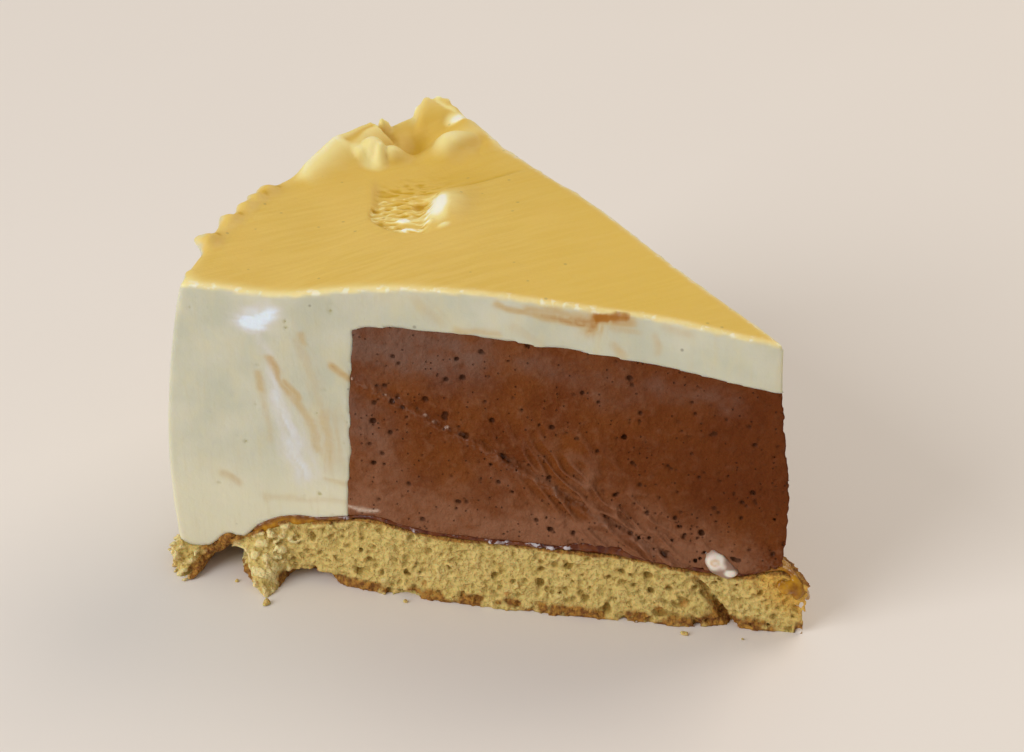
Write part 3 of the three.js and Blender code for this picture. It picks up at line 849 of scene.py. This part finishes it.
def chocolate_cream(finish):
    """The insert, sunk a little way into the vanilla round it."""
    draw = np.random.default_rng(4)
    block = Block((-76, -4, 8), (6, 57, 54), CHOCOLATE_CELL)
    cuts = slice_cuts(block)
    body = chocolate_body(block, cuts, insert_field(block, cuts.reach))
    hollowed = body.copy()
    cut_chocolate_bubbles(block, hollowed, draw)
    field = hollowed.copy()
    along = np.array(CREASE_BEADS)
    height = crease_height(along, FRONT_CREASE) + draw.uniform(-0.7, 0.1, len(along))
    block.add_lumps(field, on_front(along, height, 0.0), draw.uniform(0.3, 0.46, len(along)), soft=0.15)
    points, faces = block.skin(field)
    at = points.astype(np.float32)
    x, _, z = at.T
    on_front_cut = block.sample(cuts.front, at) > block.sample(cuts.far, at)

    def by_cut(at_front, at_far):
        return np.where(on_front_cut, at_front, at_far)

    away = by_cut(-x, far_length(x))
    above = by_cut(crease_distance(-x, z, FRONT_CREASE), crease_distance(away, z, FAR_CREASE))
    # painted sheen: greyer patches that stand in for reflection
    smear = by_cut(
        stroke_amount(FRONT_SMEARED, -x, z, 63, streaks=0.1),
        stroke_amount(FAR_SMEARED, away, z, 66, streaks=0.1),
    )
    smear = smear * (1 + 0.4 * wave_noise(away / 3, z / 2.6, 70) + 0.25 * wave_noise(away / 1.1, z, 71))
    smear = smear * (1 - 0.6 * bell(above, -1.6, 1.4))
    front_relief = chocolate_relief(-x, z, FRONT_CREASE, 43)
    far_relief = chocolate_relief(away, z, FAR_CREASE, 53)
    groove = by_cut(front_relief.groove, far_relief.groove)
    lines = by_cut(front_relief.lines, far_relief.lines)
    new_piece(
        "chocolate_cream_insert", points, faces, finish, "chocolate", ["chocolate_cream"],
        hidden=block.sample(np.maximum(cuts.front, cuts.far), at) < -3,
        # darkening inside the bubbles and along the crease's groove: painted shade
        pit=np.maximum(smoothstep(-block.sample(body, at), 0.05, 0.35), 0.25 * groove**2),
        # painted sheen, with painted highlights on the crests of the dragged lines
        smeared=np.maximum(smear, 0.45 * lines) + 0.35 * lines,
        # pale cream line, and pale painted glints on the crease beads
        cream=np.maximum(
            by_cut(stroke_amount(FRONT_CREAM_LINE, -x, z, 69), 0),
            0.6 * smoothstep(block.sample(hollowed, at), 0.12, 0.4),
        ),
        wet=np.maximum(
            bell(above, -0.5, 0.7) * plateau(away, 12, 20, 70, 72),
            0.8 * (1 - smoothstep(away, 0, 7)) * (1 - smoothstep(z, 12, 17)),
        ),
    )


# The jam

# Jam that ran down over the broken tip of the sponge: places and radii
TIP_DRIPS = [
    (1.4, -0.7, 9.7, 0.8),
    (3.0, -0.5, 9.3, 1.0),
    (4.2, 0.1, 8.7, 1.0),
    (5.0, 0.9, 7.8, 0.9),
    (5.4, 1.7, 6.8, 0.75),
    (5.6, 2.3, 5.8, 0.6),
    (4.1, -0.6, 7.6, 0.6),
    (2.2, -1.0, 8.6, 0.6),
    (-2.0, -1.2, 9.0, 0.6),
]
JAM_TIP_PROUD = 3.6  # how far the film reaches out over the sponge's tip


def jam_film(finish):
    """The wet film on the sponge, with drops along the cuts and drips over the tip."""
    draw = np.random.default_rng(5)
    block = Block((-108, -5, 1), (10, 78, 19), JAM_CELL)
    cuts = slice_cuts(block, tip_proud=JAM_TIP_PROUD)
    along = -block.x
    edge = np.maximum(cuts.front, cuts.far)
    uneven = 0.3 * block.noise(2.6, 61) + 0.15 * block.noise(1.1, 63)
    drawn_in = 1.4 * jam_missing(block.x, block.y) + 0.15 * plateau(along, -2, 6, 70, 77)
    sides = common(edge + uneven + drawn_in, cuts.rim + 0.6 + uneven, 0.4)
    middle = sponge_top(cuts.reach, block.x, block.y) + JAM_LIFT - 1.6 * smoothstep(block.x, 1.5, 7)
    thick = 1.4 * plateau(along, 77, 82, 88, 90.5) * bell(block.y, 0, 3) + 0.5 * smoothstep(block.x, 0, 5)
    pooled = jam_pool(block.x, block.y)
    thickness = JAM_THICKNESS + thick + pooled + 0.3 * block.noise(3, 62)
    film = np.abs(block.z - middle + 0.35 * thick - 0.5 * pooled) - thickness / 2
    field = common(sides, film, 0.5)
    bare = field.copy()
    for on_cut in (on_front, on_far):
        length = np.concatenate([draw.uniform(34, 47.5, 15), draw.uniform(12, 84, 5)])
        level = sponge_top(length / CAKE_RADIUS, -length, 0) + JAM_LIFT
        drops = on_cut(length, level + draw.uniform(-0.2, 0.4, len(length)), 0.1)
        block.add_lumps(field, drops, draw.uniform(0.22, 0.42, len(length)), (1.5, 1, 1))
    drips = np.array(TIP_DRIPS)
    block.add_lumps(field, drips[:, :3], drips[:, 3], soft=1.0)
    field = field + 0.2 * block.noise(0.9, 64) * smoothstep(block.x, -1, 2)
    points, faces = block.skin(field)
    at = points.astype(np.float32)
    x, _, z = at.T
    lower = 0.3 + 0.7 * smoothstep(block.sample(middle, at) - z, -0.2, 0.5)
    new_piece(
        "jam_layer", points, faces, finish, "jam", ["jam_film"],
        hidden=(block.sample(edge, at) < -2) & (block.sample(cuts.rim, at) < -2),
        amber=np.maximum(smoothstep(-x, 68, 80) * lower, 1 - smoothstep(-x, -2, 3)),
        glint=smoothstep(block.sample(bare, at), 0.05, 0.3) * plateau(-x, 20, 24, 84, 88),
    )


# The sponge

# Where the sponge's front foot has crumbled: distance from the axis, half width, height and depth of each
# bite, and how its middle and half width change with height. A negative depth is crumb that sticks out.
Crumble = namedtuple("Crumble", "at half top depth lean flare")
CRUMBLES = [
    Crumble(95.0, 3.0, 5.4, 9.5, -0.5, -0.25),  # hollow under the rim
    Crumble(101.4, 3.2, 7.5, -3.0, 0.0, 0.0),  # chunk at the rim
    Crumble(85.8, 1.7, 7.0, -5.0, 0.3, 0.3),  # tongue of crumb
    Crumble(87.6, 3.0, 9.5, -2.2, 0.0, 0.0),  # crumb it hangs on
    Crumble(79.0, 4.4, 2.0, 3.6, 0.0, 0.0),  # shallow hollow
    Crumble(62.8, 2.0, 1.3, 1.2, 0.0, 0.0),  # small chip
    Crumble(38.0, 19.0, 9.0, -0.8, 0.0, 0.0),  # foot that spreads
    Crumble(15.0, 5.0, 5.0, -1.2, 0.0, 0.0),  # crumb beside the crack
    Crumble(6.4, 0.8, 9.5, 1.9, 0.72, 0.0),  # crack that frees the tip
    Crumble(0.0, 6.0, 9.0, -1.0, 0.0, 0.0),  # broken tip
]
SPONGE_PORES = 3000
SPONGE_HOLES = 260  # how many of the pores are large
SPONGE_RIM_PROUD = 1.4  # how far its foot stands out under the moulded side
FAR_TIP_PROUD = 2.4


def crumbled(front, along, z):
    """The front cut's distances with the crumbled foot worked in."""
    for crumble in CRUMBLES:
        middle = crumble.at + crumble.lean * z + 0.8 * wave_noise(z / 2.2, crumble.at + 0 * z, 71)
        half = np.maximum(crumble.half + crumble.flare * z, 0.4)
        shape = np.exp(-(np.abs((along - middle) / half) ** (4 if crumble.depth > 0 else 2.4)))
        if crumble.depth > 0:
            shape = shape * (1 - smoothstep(z, 0.75 * crumble.top, 1.1 * crumble.top))
        else:
            shape = shape * np.clip(1 - z / crumble.top, 0, 1)
        front = front + crumble.depth * shape
    return front


def sponge_base(finish):
    """The open crumb, with its crumbled front foot, its loosened crumb and its pores."""
    draw = np.random.default_rng(6)
    block = Block((-109, -11, -1.2), (10, 81, 17), SPONGE_CELL)
    cuts = slice_cuts(block, tip_proud=SPONGE_TIP_PROUD)
    z = block.z
    front = crumbled(cuts.front, -block.x, z)
    far = cuts.far - FAR_TIP_PROUD * (1 - smoothstep(cuts.reach, 0, 0.14))
    rim = cuts.rim - SPONGE_RIM_PROUD * (1 - smoothstep(z, 3, 6))
    sides = common(np.maximum(front, far), rim, 0.8) + 0.1
    top = z - sponge_top(cuts.reach, block.x, block.y)
    smooth = common(sides, top, 0.5)
    coarse = 0.3 * block.noise(3.2, 72) + 0.2 * block.noise(1.4, 73)
    loose = smoothstep(-block.x, 79, 85) * plateau(block.y, -13, -10, 5, 11)
    rough = coarse + 0.34 * block.noise(0.8, 74) + 0.2 * block.noise(0.45, 78) + 0.05
    clods = np.abs(block.noise(0.9, 79)) + 0.6 * np.abs(block.noise(0.55, 80))
    rough = rough + loose * (0.6 - 1.7 * clods)
    field = common(sides + rough, top + 0.3 * coarse, 0.4)
    near_surface = np.abs(sides + coarse - 0.05) < 0.22
    surface = np.argwhere(near_surface & (top < 0.3) & (z > 0.2) & (loose < 0.6))
    chosen = surface[draw.choice(len(surface), SPONGE_PORES, replace=False)]
    centres = chosen * block.cell + block.low
    radii = 0.24 + 0.32 * draw.random(SPONGE_PORES) ** 2
    radii[:SPONGE_HOLES] = 0.45 + 0.4 * draw.random(SPONGE_HOLES) ** 2
    block.cut_bubbles(field, centres, radii, stretch=(1.2, 1.1, 0.95), uneven=0.7 * block.noise(0.5, 80))
    points, faces = block.skin(np.maximum(field, 0.02 - z))
    at = points.astype(np.float32)
    new_piece(
        "sponge_crumb", points, faces, finish, "sponge", ["sponge_base"],
        hidden=block.sample(sides, at) < -3.5,
        # deep: depth below the smooth surface, for painted shade in pores and painted highlight on crumb that
        # stands out
        deep=np.clip(-block.sample(smooth + 0.6 * coarse, at), -0.6, 1.5),
        crust=sponge_crust(at, block.sample(top, at)),
        soaked=sponge_soaked(at),
    )


# Browned patches of the front cut
SPONGE_CRUST = [
    Stroke((98.8, 0.8), (96.2, 4.6), 1.7, 1.5),
    Stroke((96.2, 4.6), (92.5, 8.0), 1.4, 1.4),
    Stroke((9.4, 3.6), (7.0, 0.5), 1.0, 1.1),
    Stroke((13.0, 9.0), (8.5, 2.5), 0.7, 0.7),
    Stroke((80.0, 10.5), (88.0, 9.5), 0.8, 0.4),
]


def sponge_crust(at, top):
    """How browned the sponge is: along its foot, along its soaked top and in a few patches."""
    x, y, z = at.T
    patches = wave_noise(x / 3.2, y / 3.2, 75) + 0.5 * wave_noise(x / 1.1, y / 1.1 + z, 77)
    foot = (1 - smoothstep(z, 1.0, 3.2)) * np.clip(0.85 + 1.2 * patches, 0, 1) * smoothstep(y, -4, -2.5)
    soaked = 0.85 * smoothstep(top, -0.9, -0.1)
    foot, soaked = (part * (1 - smoothstep(-x, 97.5, 100)) for part in (foot, soaked))
    browned = stroke_amount(SPONGE_CRUST, -x, z, 76) * (y < 12)
    return np.clip(np.maximum(foot, soaked) + browned, 0, 1)


def sponge_soaked(at):
    """How far jam has soaked into the sponge's tip."""
    x, _, z = at.T
    return smoothstep(x + 0.8 * (z - 6), -5, 4) * (0.3 + 0.7 * smoothstep(z, 2, 6.5))


# Small things

# White fleck of cream on the chocolate, and its tail: distance from the axis and height, and half sizes
FLECK_PLACE = (9.7, 12.9)
FLECK_SIZES = (2.1, 0.7, 2.1)
TAIL_PLACE = (6.9, 10.9)
TAIL_SIZES = (1.2, 0.5, 0.6)
CORE_SIZES = (0.8, 3.0, 0.7)
TAIL_EDGE = (1.5, 0.9)  # half length and height of the tail out to its thin edge


def cream_fleck(finish):
    """The white fleck, with a ring round its core and a thin edge."""
    middle = on_front(*np.array(FLECK_PLACE), -0.1)
    tail = on_front(*np.array(TAIL_PLACE), 0.0)
    block = Block(middle - (5, 3, 4.5), middle + (6, 3, 4), SMALL_CELL)

    def blob(centre, sizes):
        gap = [(c - p) / s for c, p, s in zip((block.x, block.y, block.z), centre, sizes)]
        return (np.sqrt(sum(g * g for g in gap)) - 1) * min(sizes)

    field = joined(blob(middle, FLECK_SIZES), blob(tail, TAIL_SIZES), 1.6)
    field = field + 0.22 * block.noise(1.1, 81)
    points, faces = block.skin(field)
    core = np.linalg.norm((points - middle) / CORE_SIZES, axis=1)
    x, _, z = points.T
    around = np.hypot((x - middle[0]) / FLECK_SIZES[0], (z - middle[2]) / FLECK_SIZES[2])
    around = np.minimum(around, np.hypot((x - tail[0]) / TAIL_EDGE[0], (z - tail[2]) / TAIL_EDGE[1]))
    new_piece(
        "cream_fleck", points, faces, finish, "vanilla",
        core=bell(core, 0.75, 0.35),
        thin=smoothstep(around + 0.25 * wave_noise(x, z, 82), 0.55, 1.05),
    )


# Crumbs that have fallen beside the front cut's foot: place and radius
LOOSE_CRUMBS = [
    (-85.2, -8.3, 0.75),
    (-14.3, -4.4, 0.5),
    (-4.2, -4.0, 0.3),
    (-91.9, -2.8, 0.35),
    (-62.0, -3.6, 0.3),
]


def loose_crumbs(finish):
    """The crumbs, a little flattened and cut off where they lie on the floor."""
    block = Block((-107, -12, -0.6), (9, 3, 4), SMALL_CELL)
    field = np.full(block.shape, 3.0, np.float32)
    for x, y, size in LOOSE_CRUMBS:
        centre = (x, y, 0.6 * size)
        ranges = block.window(centre, size + 1)
        dx, dy, dz = block.offsets(ranges, centre)
        field[ranges] = np.minimum(field[ranges], np.sqrt(dx * dx / 1.5 + dy * dy + dz * dz) - size)
    field = np.maximum(field + 0.35 * block.noise(0.6, 91), 0.02 - block.z)
    points, faces = block.skin(field, whole=True)
    still = np.zeros(len(points))
    new_piece("loose_crumbs", points, faces, finish, "sponge", deep=still, crust=still + 0.1, soaked=still)


# Finishes


class Wire:
    """A socket of a finish. Arithmetic on wires adds the Math nodes that it stands for."""

    def __init__(self, finish, socket):
        self.finish = finish
        self.socket = socket

    def __add__(self, other):
        return self.finish.math("ADD", self, other)

    def __radd__(self, other):
        return self.finish.math("ADD", other, self)

    def __sub__(self, other):
        return self.finish.math("SUBTRACT", self, other)

    def __rsub__(self, other):
        return self.finish.math("SUBTRACT", other, self)

    def __mul__(self, other):
        return self.finish.math("MULTIPLY", self, other)

    def __rmul__(self, other):
        return self.finish.math("MULTIPLY", other, self)

    def rises(self, low, high):
        """0 below `low` and 1 above `high`, smooth between. It falls instead where `low` is the higher."""
        sockets = {"Value": self, "From Min": low, "From Max": high}
        return self.finish.node("MapRange", {"interpolation_type": "SMOOTHSTEP"}, sockets)


class Finish:
    """A material made of nodes round one Principled shader."""

    def __init__(self, name, **sockets):
        self.material = bpy.data.materials.new(name)
        self.material.use_nodes = True
        self.tree = self.material.node_tree
        self.shader = self.tree.nodes["Principled BSDF"]
        where = self.node("TexCoord", {}, {}, "Object")
        to_mm = {0: where, 1: (1 / MM,) * 3, 2: tuple(-TIP_PLACE)}
        self.place = self.node("VectorMath", {"operation": "MULTIPLY_ADD"}, to_mm)
        self.set(**sockets)

    def node(self, kind, settings, sockets, output=0):
        """One output of a new node, whose settings are made first, then its sockets' values or links."""
        node = self.tree.nodes.new("ShaderNode" + kind)
        for key, value in settings.items():
            setattr(node, key, value)
        for key, value in sockets.items():
            self.feed(node.inputs[key], value)
        return Wire(self, node.outputs[output])

    def feed(self, socket, value):
        if isinstance(value, Wire):
            self.tree.links.new(value.socket, socket)
        else:
            socket.default_value = value

    def set(self, **sockets):
        """Feeds the shader's sockets, named with _ for a space."""
        for key, value in sockets.items():
            self.feed(self.shader.inputs[key.replace("_", " ")], value)

    def math(self, operation, a, b):
        return self.node("Math", {"operation": operation}, {0: a, 1: b})

    def along(self, axis):
        """Millimetres along X, Y or Z."""
        return self.node("SeparateXYZ", {}, {0: self.place}, axis)

    def value(self, name):
        """A number stored at the mesh's points."""
        return self.node("Attribute", {"attribute_name": name}, {}, "Fac")

    def mix(self, share, a, b):
        """Colour a turning into colour b as `share` goes from 0 to 1."""
        a, b = (c if isinstance(c, Wire) else (*c, 1) for c in (a, b))
        return self.node("Mix", {"data_type": "RGBA"}, {0: share, 6: a, 7: b}, 2)

    def grain(self, size, detail=2.0, stretch=(1, 1, 1), turn=0.0):
        """Noise from about 0 to 1, with lumps of `size` millimetres, stretched along turned axes."""
        sockets = {"Vector": self.place, "Rotation": (0, 0, turn), "Scale": tuple(size * s for s in stretch)}
        vector = self.node("Mapping", {"vector_type": "TEXTURE"}, sockets)
        return self.node("TexNoise", {}, {"Vector": vector, "Scale": 1.0, "Detail": detail})

    def dots(self, spacing, radius, share):
        """Round dots of `radius` millimetres, `spacing` apart, of which only `share` are there."""
        sockets = {"Vector": self.place, "Scale": 1 / spacing, "Randomness": 1.0}
        away = self.node("TexVoronoi", {}, sockets)
        chance = self.node("TexVoronoi", {}, sockets, "Color")
        chance = self.node("SeparateColor", {}, {0: chance})
        there = self.math("LESS_THAN", chance, share)
        return away.rises(radius / spacing, 0.4 * radius / spacing) * there

    def bump(self, height, millimetres):
        """A Normal that follows a height from 0 to 1, of so many millimetres."""
        sockets = {"Height": height, "Distance": millimetres * MM, "Strength": 1.0}
        return self.node("Bump", {}, sockets)


STREAK_TURN = math.radians(38)  # the way the spatula was drawn over the top
# white of fresh cream, also the colour of painted glints on the lip
FRESH_CREAM = (0.95, 0.92, 0.76)


def vanilla_cut(finish, fine, drawn):
    """The cut cream's colour: mottled, warmer towards the foot, with milky patches, smears, a painted bluish
    highlight and pores darkened with painted shade.
    """
    cut = finish.mix(finish.grain(9, 3.0).rises(0.3, 0.7), (0.57, 0.56, 0.43), (0.66, 0.63, 0.49))
    cut = finish.mix(finish.grain(3.0, 3.0, (1, 1, 2)).rises(0.45, 0.75) * 0.5, cut, (0.67, 0.61, 0.40))
    cut = finish.mix(finish.along("Z").rises(30, 14) * 0.7, cut, (0.78, 0.72, 0.52))
    cut = finish.mix(drawn.rises(0.5, 0.85) * 0.35, cut, (0.62, 0.54, 0.33))
    milky, stain = finish.value("milky"), finish.value("stain")
    cut = finish.mix(milky.rises(0, 1) * 0.8, cut, (0.69, 0.655, 0.60))
    cut = finish.mix(stain.rises(0.0, 0.55) * 0.8, cut, (0.58, 0.42, 0.20))
    cut = finish.mix(stain.rises(0.4, 1.1) * (0.6 + 0.5 * fine), cut, (0.48, 0.22, 0.03))
    # the bluish-white mix over the brightest milky strokes is a painted highlight
    shine = milky.rises(0.5, 2.4)
    cut = finish.mix(shine * (0.7 + 0.4 * fine), cut, (0.80, 0.89, 1.0))
    # pores darkened with painted shade
    return finish.mix(finish.value("pore") * 0.8 * (1 - shine), cut, (0.42, 0.36, 0.11))


def vanilla_skin(finish, fine, streak, lip, glint):
    """The top's colour: streaked yellow, deeper in the valleys with painted shade, paler on fresh lumps,
    partly with painted light, and along the lip with a painted highlight and painted glints.
    """
    pale = finish.value("pale")
    yellow = finish.mix(streak.rises(0.35, 0.7), (0.73, 0.48, 0.090), (0.77, 0.525, 0.118))
    yellow = finish.mix(finish.grain(14, 2.0).rises(0.35, 0.75) * 0.5, yellow, (0.80, 0.54, 0.13))
    yellow = finish.mix(finish.along("X").rises(-62, -25) * 0.6, yellow, (0.76, 0.50, 0.075))
    yellow = finish.mix(finish.along("Y").rises(25, 50) * 0.5, yellow, (0.71, 0.455, 0.062))
    # deep yellow where paleness is below 0 is painted shade; the paler mixes are fresh cream, partly painted
    # light on lit lumps
    yellow = finish.mix(pale.rises(0.0, -0.8), yellow, (0.60, 0.35, 0.015))
    yellow = finish.mix(pale.rises(0.1, 0.95), yellow, (0.90, 0.76, 0.32))
    yellow = finish.mix(pale.rises(0.85, 1.35), yellow, FRESH_CREAM)
    # painted highlight along the lip
    yellow = finish.mix(lip * (0.5 + 0.5 * fine), yellow, (0.90, 0.78, 0.42))
    # painted glints along the lip
    return finish.mix(glint * 0.75, yellow, FRESH_CREAM)


def vanilla_finish():
    finish = Finish(
        "vanilla cream",
        Subsurface_Weight=0.5,
        Subsurface_Radius=(1.0, 0.8, 0.4),
        Subsurface_Scale=0.0015,
        IOR=1.4,
        Coat_Roughness=0.12,
    )
    skin, lip = finish.value("skin"), finish.value("lip")
    fine = finish.grain(0.8, 3.0)
    drawn = finish.grain(1.1, 3.0, (1, 1, 6))
    streak = finish.grain(1.0, 3.0, (9, 1, 3), STREAK_TURN)
    glint = lip * finish.grain(1.4, 2.0).rises(0.53, 0.68)
    cut = vanilla_cut(finish, fine, drawn)
    colour = finish.mix(skin, cut, vanilla_skin(finish, fine, streak, lip, glint))
    deep_stain = finish.value("stain").rises(0.5, 1.35) * (0.55 + 0.65 * drawn)
    colour = finish.mix(deep_stain, colour, (0.38, 0.135, 0.002))
    specks = finish.dots(3.6, 0.4, 0.5)
    colour = finish.mix(specks * (0.5 - 0.2 * skin), colour, (0.16, 0.13, 0.08))
    finish.set(
        Base_Color=colour,
        Roughness=0.42 + 0.2 * fine - 0.15 * lip,
        Coat_Weight=glint * 0.8,
        Normal=finish.bump(0.6 * fine + 0.3 * streak * skin + 0.5 * drawn * (1 - skin), 0.1),
    )
    return finish.material


def chocolate_finish():
    finish = Finish(
        "chocolate cream",
        Subsurface_Weight=0.1,
        Subsurface_Scale=0.0008,
        Specular_IOR_Level=0.12,
        Coat_Roughness=0.15,
    )
    pit = finish.value("pit")
    fine = finish.grain(0.6, 4.0)
    colour = finish.mix(finish.grain(10, 3.0).rises(0.3, 0.7), (0.128, 0.027, 0.002), (0.175, 0.045, 0.005))
    colour = finish.mix(fine.rises(0.45, 0.75) * 0.35, colour, (0.21, 0.070, 0.016))
    mottled = finish.grain(1.8, 3.0)
    # paler on the raised mottling: painted highlight
    colour = finish.mix(mottled.rises(0.48, 0.75) * 0.4, colour, (0.235, 0.095, 0.042))
    high = finish.along("Z")
    tipward = finish.along("X").rises(-34, -6)
    colour = finish.mix(tipward * 0.65 * high.rises(14, 26), colour, (0.105, 0.020, 0.001))
    # grey-brown colour of the painted sheen
    smear = finish.mix(high.rises(20, 40), (0.258, 0.107, 0.053), (0.178, 0.088, 0.058))
    colour = finish.mix(finish.value("smeared").rises(0, 1) * 0.9, colour, smear)
    # pale cream line and painted glints on the crease beads
    colour = finish.mix(finish.value("cream"), colour, (0.75, 0.58, 0.45))
    # dark dots, also sunk in the bump: painted shade of fine pits
    dots = finish.dots(1.0, 0.22, 0.3)
    colour = finish.mix(dots * 0.45, colour, (0.045, 0.012, 0.004))
    # painted shade in the pits and the crease
    colour = finish.mix(pit * 0.75, colour, (0.045, 0.011, 0.002))
    finish.set(
        Base_Color=colour,
        Roughness=0.45 + 0.25 * fine,
        Coat_Weight=finish.value("wet") * fine.rises(0.45, 0.6) * 0.8,
        Normal=finish.bump(fine - 1.2 * dots + 1.5 * mottled, 0.26),
    )
    return finish.material


def jam_finish():
    finish = Finish("amber jam", Roughness=0.14, Specular_IOR_Level=0.25, Coat_Roughness=0.06)
    amber = finish.value("amber")
    lumps = finish.grain(1.6, 3.0)
    dark = finish.mix(lumps.rises(0.3, 0.7), (0.07, 0.008, 0.001), (0.16, 0.036, 0.003))
    light = finish.mix(lumps.rises(0.3, 0.7), (0.28, 0.095, 0.002), (0.52, 0.25, 0.012))
    colour = finish.mix(amber, dark, light)
    glint = finish.value("glint") * finish.grain(0.7).rises(0.42, 0.56)
    finish.set(
        Base_Color=finish.mix(glint * 0.6, colour, (0.80, 0.78, 0.82)),
        Coat_Weight=0.1 + 0.6 * finish.grain(1.1).rises(0.5, 0.62),
        Normal=finish.bump(finish.grain(0.8), 0.2),
    )
    return finish.material


def sponge_finish():
    finish = Finish("sponge crumb", Subsurface_Weight=0.25, Subsurface_Scale=0.001, Roughness=0.9)
    deep, crust = finish.value("deep"), finish.value("crust")
    fine = finish.grain(0.7, 3.0)
    crumb = finish.mix(finish.grain(3.5, 4.0), (0.62, 0.44, 0.118), (0.735, 0.55, 0.20))
    crumb = finish.mix(fine.rises(0.5, 0.36) * 0.4, crumb, (0.42, 0.27, 0.04))
    # painted highlight on crumb that stands out
    crumb = finish.mix(deep.rises(-0.1, -0.6), crumb, (0.84, 0.68, 0.31))
    # dark dots: painted shade of small pores
    crumb = finish.mix(finish.dots(1.1, 0.4, 0.5) * 0.5, crumb, (0.33, 0.20, 0.02))
    # painted shade in the pores
    crumb = finish.mix(deep.rises(0.25, 0.9) * 0.85, crumb, (0.28, 0.155, 0.014))
    crumb = finish.mix(finish.dots(5.0, 1.0, 0.25) * fine, crumb, (0.50, 0.20, 0.03))
    crumb = finish.mix(finish.value("soaked") * (0.4 + 0.6 * fine), crumb, (0.72, 0.38, 0.045))
    brown = finish.mix(finish.grain(0.8, 3.0).rises(0.3, 0.7), (0.17, 0.055, 0.004), (0.46, 0.22, 0.03))
    finish.set(
        Base_Color=finish.mix((crust + 0.7 * fine).rises(0.5, 1.2), crumb, brown),
        Normal=finish.bump(fine.rises(0.3, 0.6), 0.25),
    )
    return finish.material


def fleck_finish():
    finish = Finish("white fleck", Subsurface_Weight=0.5, Subsurface_Scale=0.001, Roughness=0.4)
    core = finish.value("core") * (0.5 + 0.5 * finish.grain(0.7).rises(0.3, 0.6))
    colour = finish.mix(finish.grain(1.5), (0.80, 0.71, 0.60), (0.88, 0.82, 0.74))
    colour = finish.mix(core * 0.7, colour, (0.66, 0.40, 0.16))
    finish.set(Base_Color=finish.mix(finish.value("thin") * 0.85, colour, (0.26, 0.11, 0.055)))
    return finish.material


# The stage

FOCAL_PIXELS = 3000  # focal length in pixels of a frame 1024 wide
FRAME_WIDTH = 1024
SENSOR_WIDTH = 36.0
CAMERA_PLACE = np.array([31.4, -412.9, 296.1])
CAMERA_TURN = math.radians(10.38)
CAMERA_PITCH = math.radians(30.9)
FLOOR_HALF = 4.0
LIT_PLACE = (0, 0, 0.03)  # where the lights point
Light = namedtuple("Light", "name place size power colour")
LIGHTS = [
    Light("cool light", (-0.8, -0.8, 0.65), 0.8, 10.0, (0.94, 0.97, 1.0)),
    Light("warm light", (0.55, 0.75, 1.0), 0.8, 6.5, (1.0, 0.9, 0.76)),
]
ROOM_COLOUR = (1.0, 0.97, 0.93, 1)
ROOM_STRENGTH = 0.42


def set_camera():
    data = bpy.data.cameras.new("camera")
    data.sensor_width = SENSOR_WIDTH
    data.lens = FOCAL_PIXELS * SENSOR_WIDTH / FRAME_WIDTH
    data.clip_start = 0.01
    data.clip_end = 20
    camera = bpy.data.objects.new("camera", data)
    bpy.context.scene.collection.objects.link(camera)
    camera.location = Vector((CAMERA_PLACE + TIP_PLACE) * MM)
    camera.rotation_euler = (math.pi / 2 - CAMERA_PITCH, 0, CAMERA_TURN)
    bpy.context.scene.camera = camera


def add_light(light):
    data = bpy.data.lights.new(light.name, "AREA")
    data.size = light.size
    data.energy = light.power
    data.color = light.colour
    lamp = bpy.data.objects.new(light.name, data)
    bpy.context.scene.collection.objects.link(lamp)
    lamp.location = light.place
    lamp.rotation_euler = (Vector(LIT_PLACE) - Vector(light.place)).to_track_quat("-Z", "Y").to_euler()


def floor_finish():
    finish = Finish("pale floor", Roughness=0.45)
    finish.set(Base_Color=finish.mix(finish.grain(60), (0.86, 0.79, 0.73), (0.88, 0.81, 0.75)))
    return finish.material


def set_floor():
    mesh = bpy.data.meshes.new("floor")
    corners = [(x * FLOOR_HALF, y * FLOOR_HALF, 0) for x, y in ((-1, -1), (1, -1), (1, 1), (-1, 1))]
    mesh.from_pydata(corners, [], [(0, 1, 2, 3)])
    mesh.materials.append(floor_finish())
    floor = bpy.data.objects.new("floor", mesh)
    bpy.context.scene.collection.objects.link(floor)


def set_light():
    for light in LIGHTS:
        add_light(light)
    world = bpy.data.worlds.new("room")
    world.use_nodes = True
    background = world.node_tree.nodes["Background"]
    background.inputs["Color"].default_value = ROOM_COLOUR
    background.inputs["Strength"].default_value = ROOM_STRENGTH
    bpy.context.scene.world = world
    bpy.context.scene.view_settings.view_transform = "Standard"


set_camera()
set_floor()
set_light()
CRUMB = sponge_finish()
sponge_base(CRUMB)
loose_crumbs(CRUMB)
jam_film(jam_finish())
chocolate_cream(chocolate_finish())
cream_fleck(fleck_finish())
vanilla_cream(vanilla_finish())
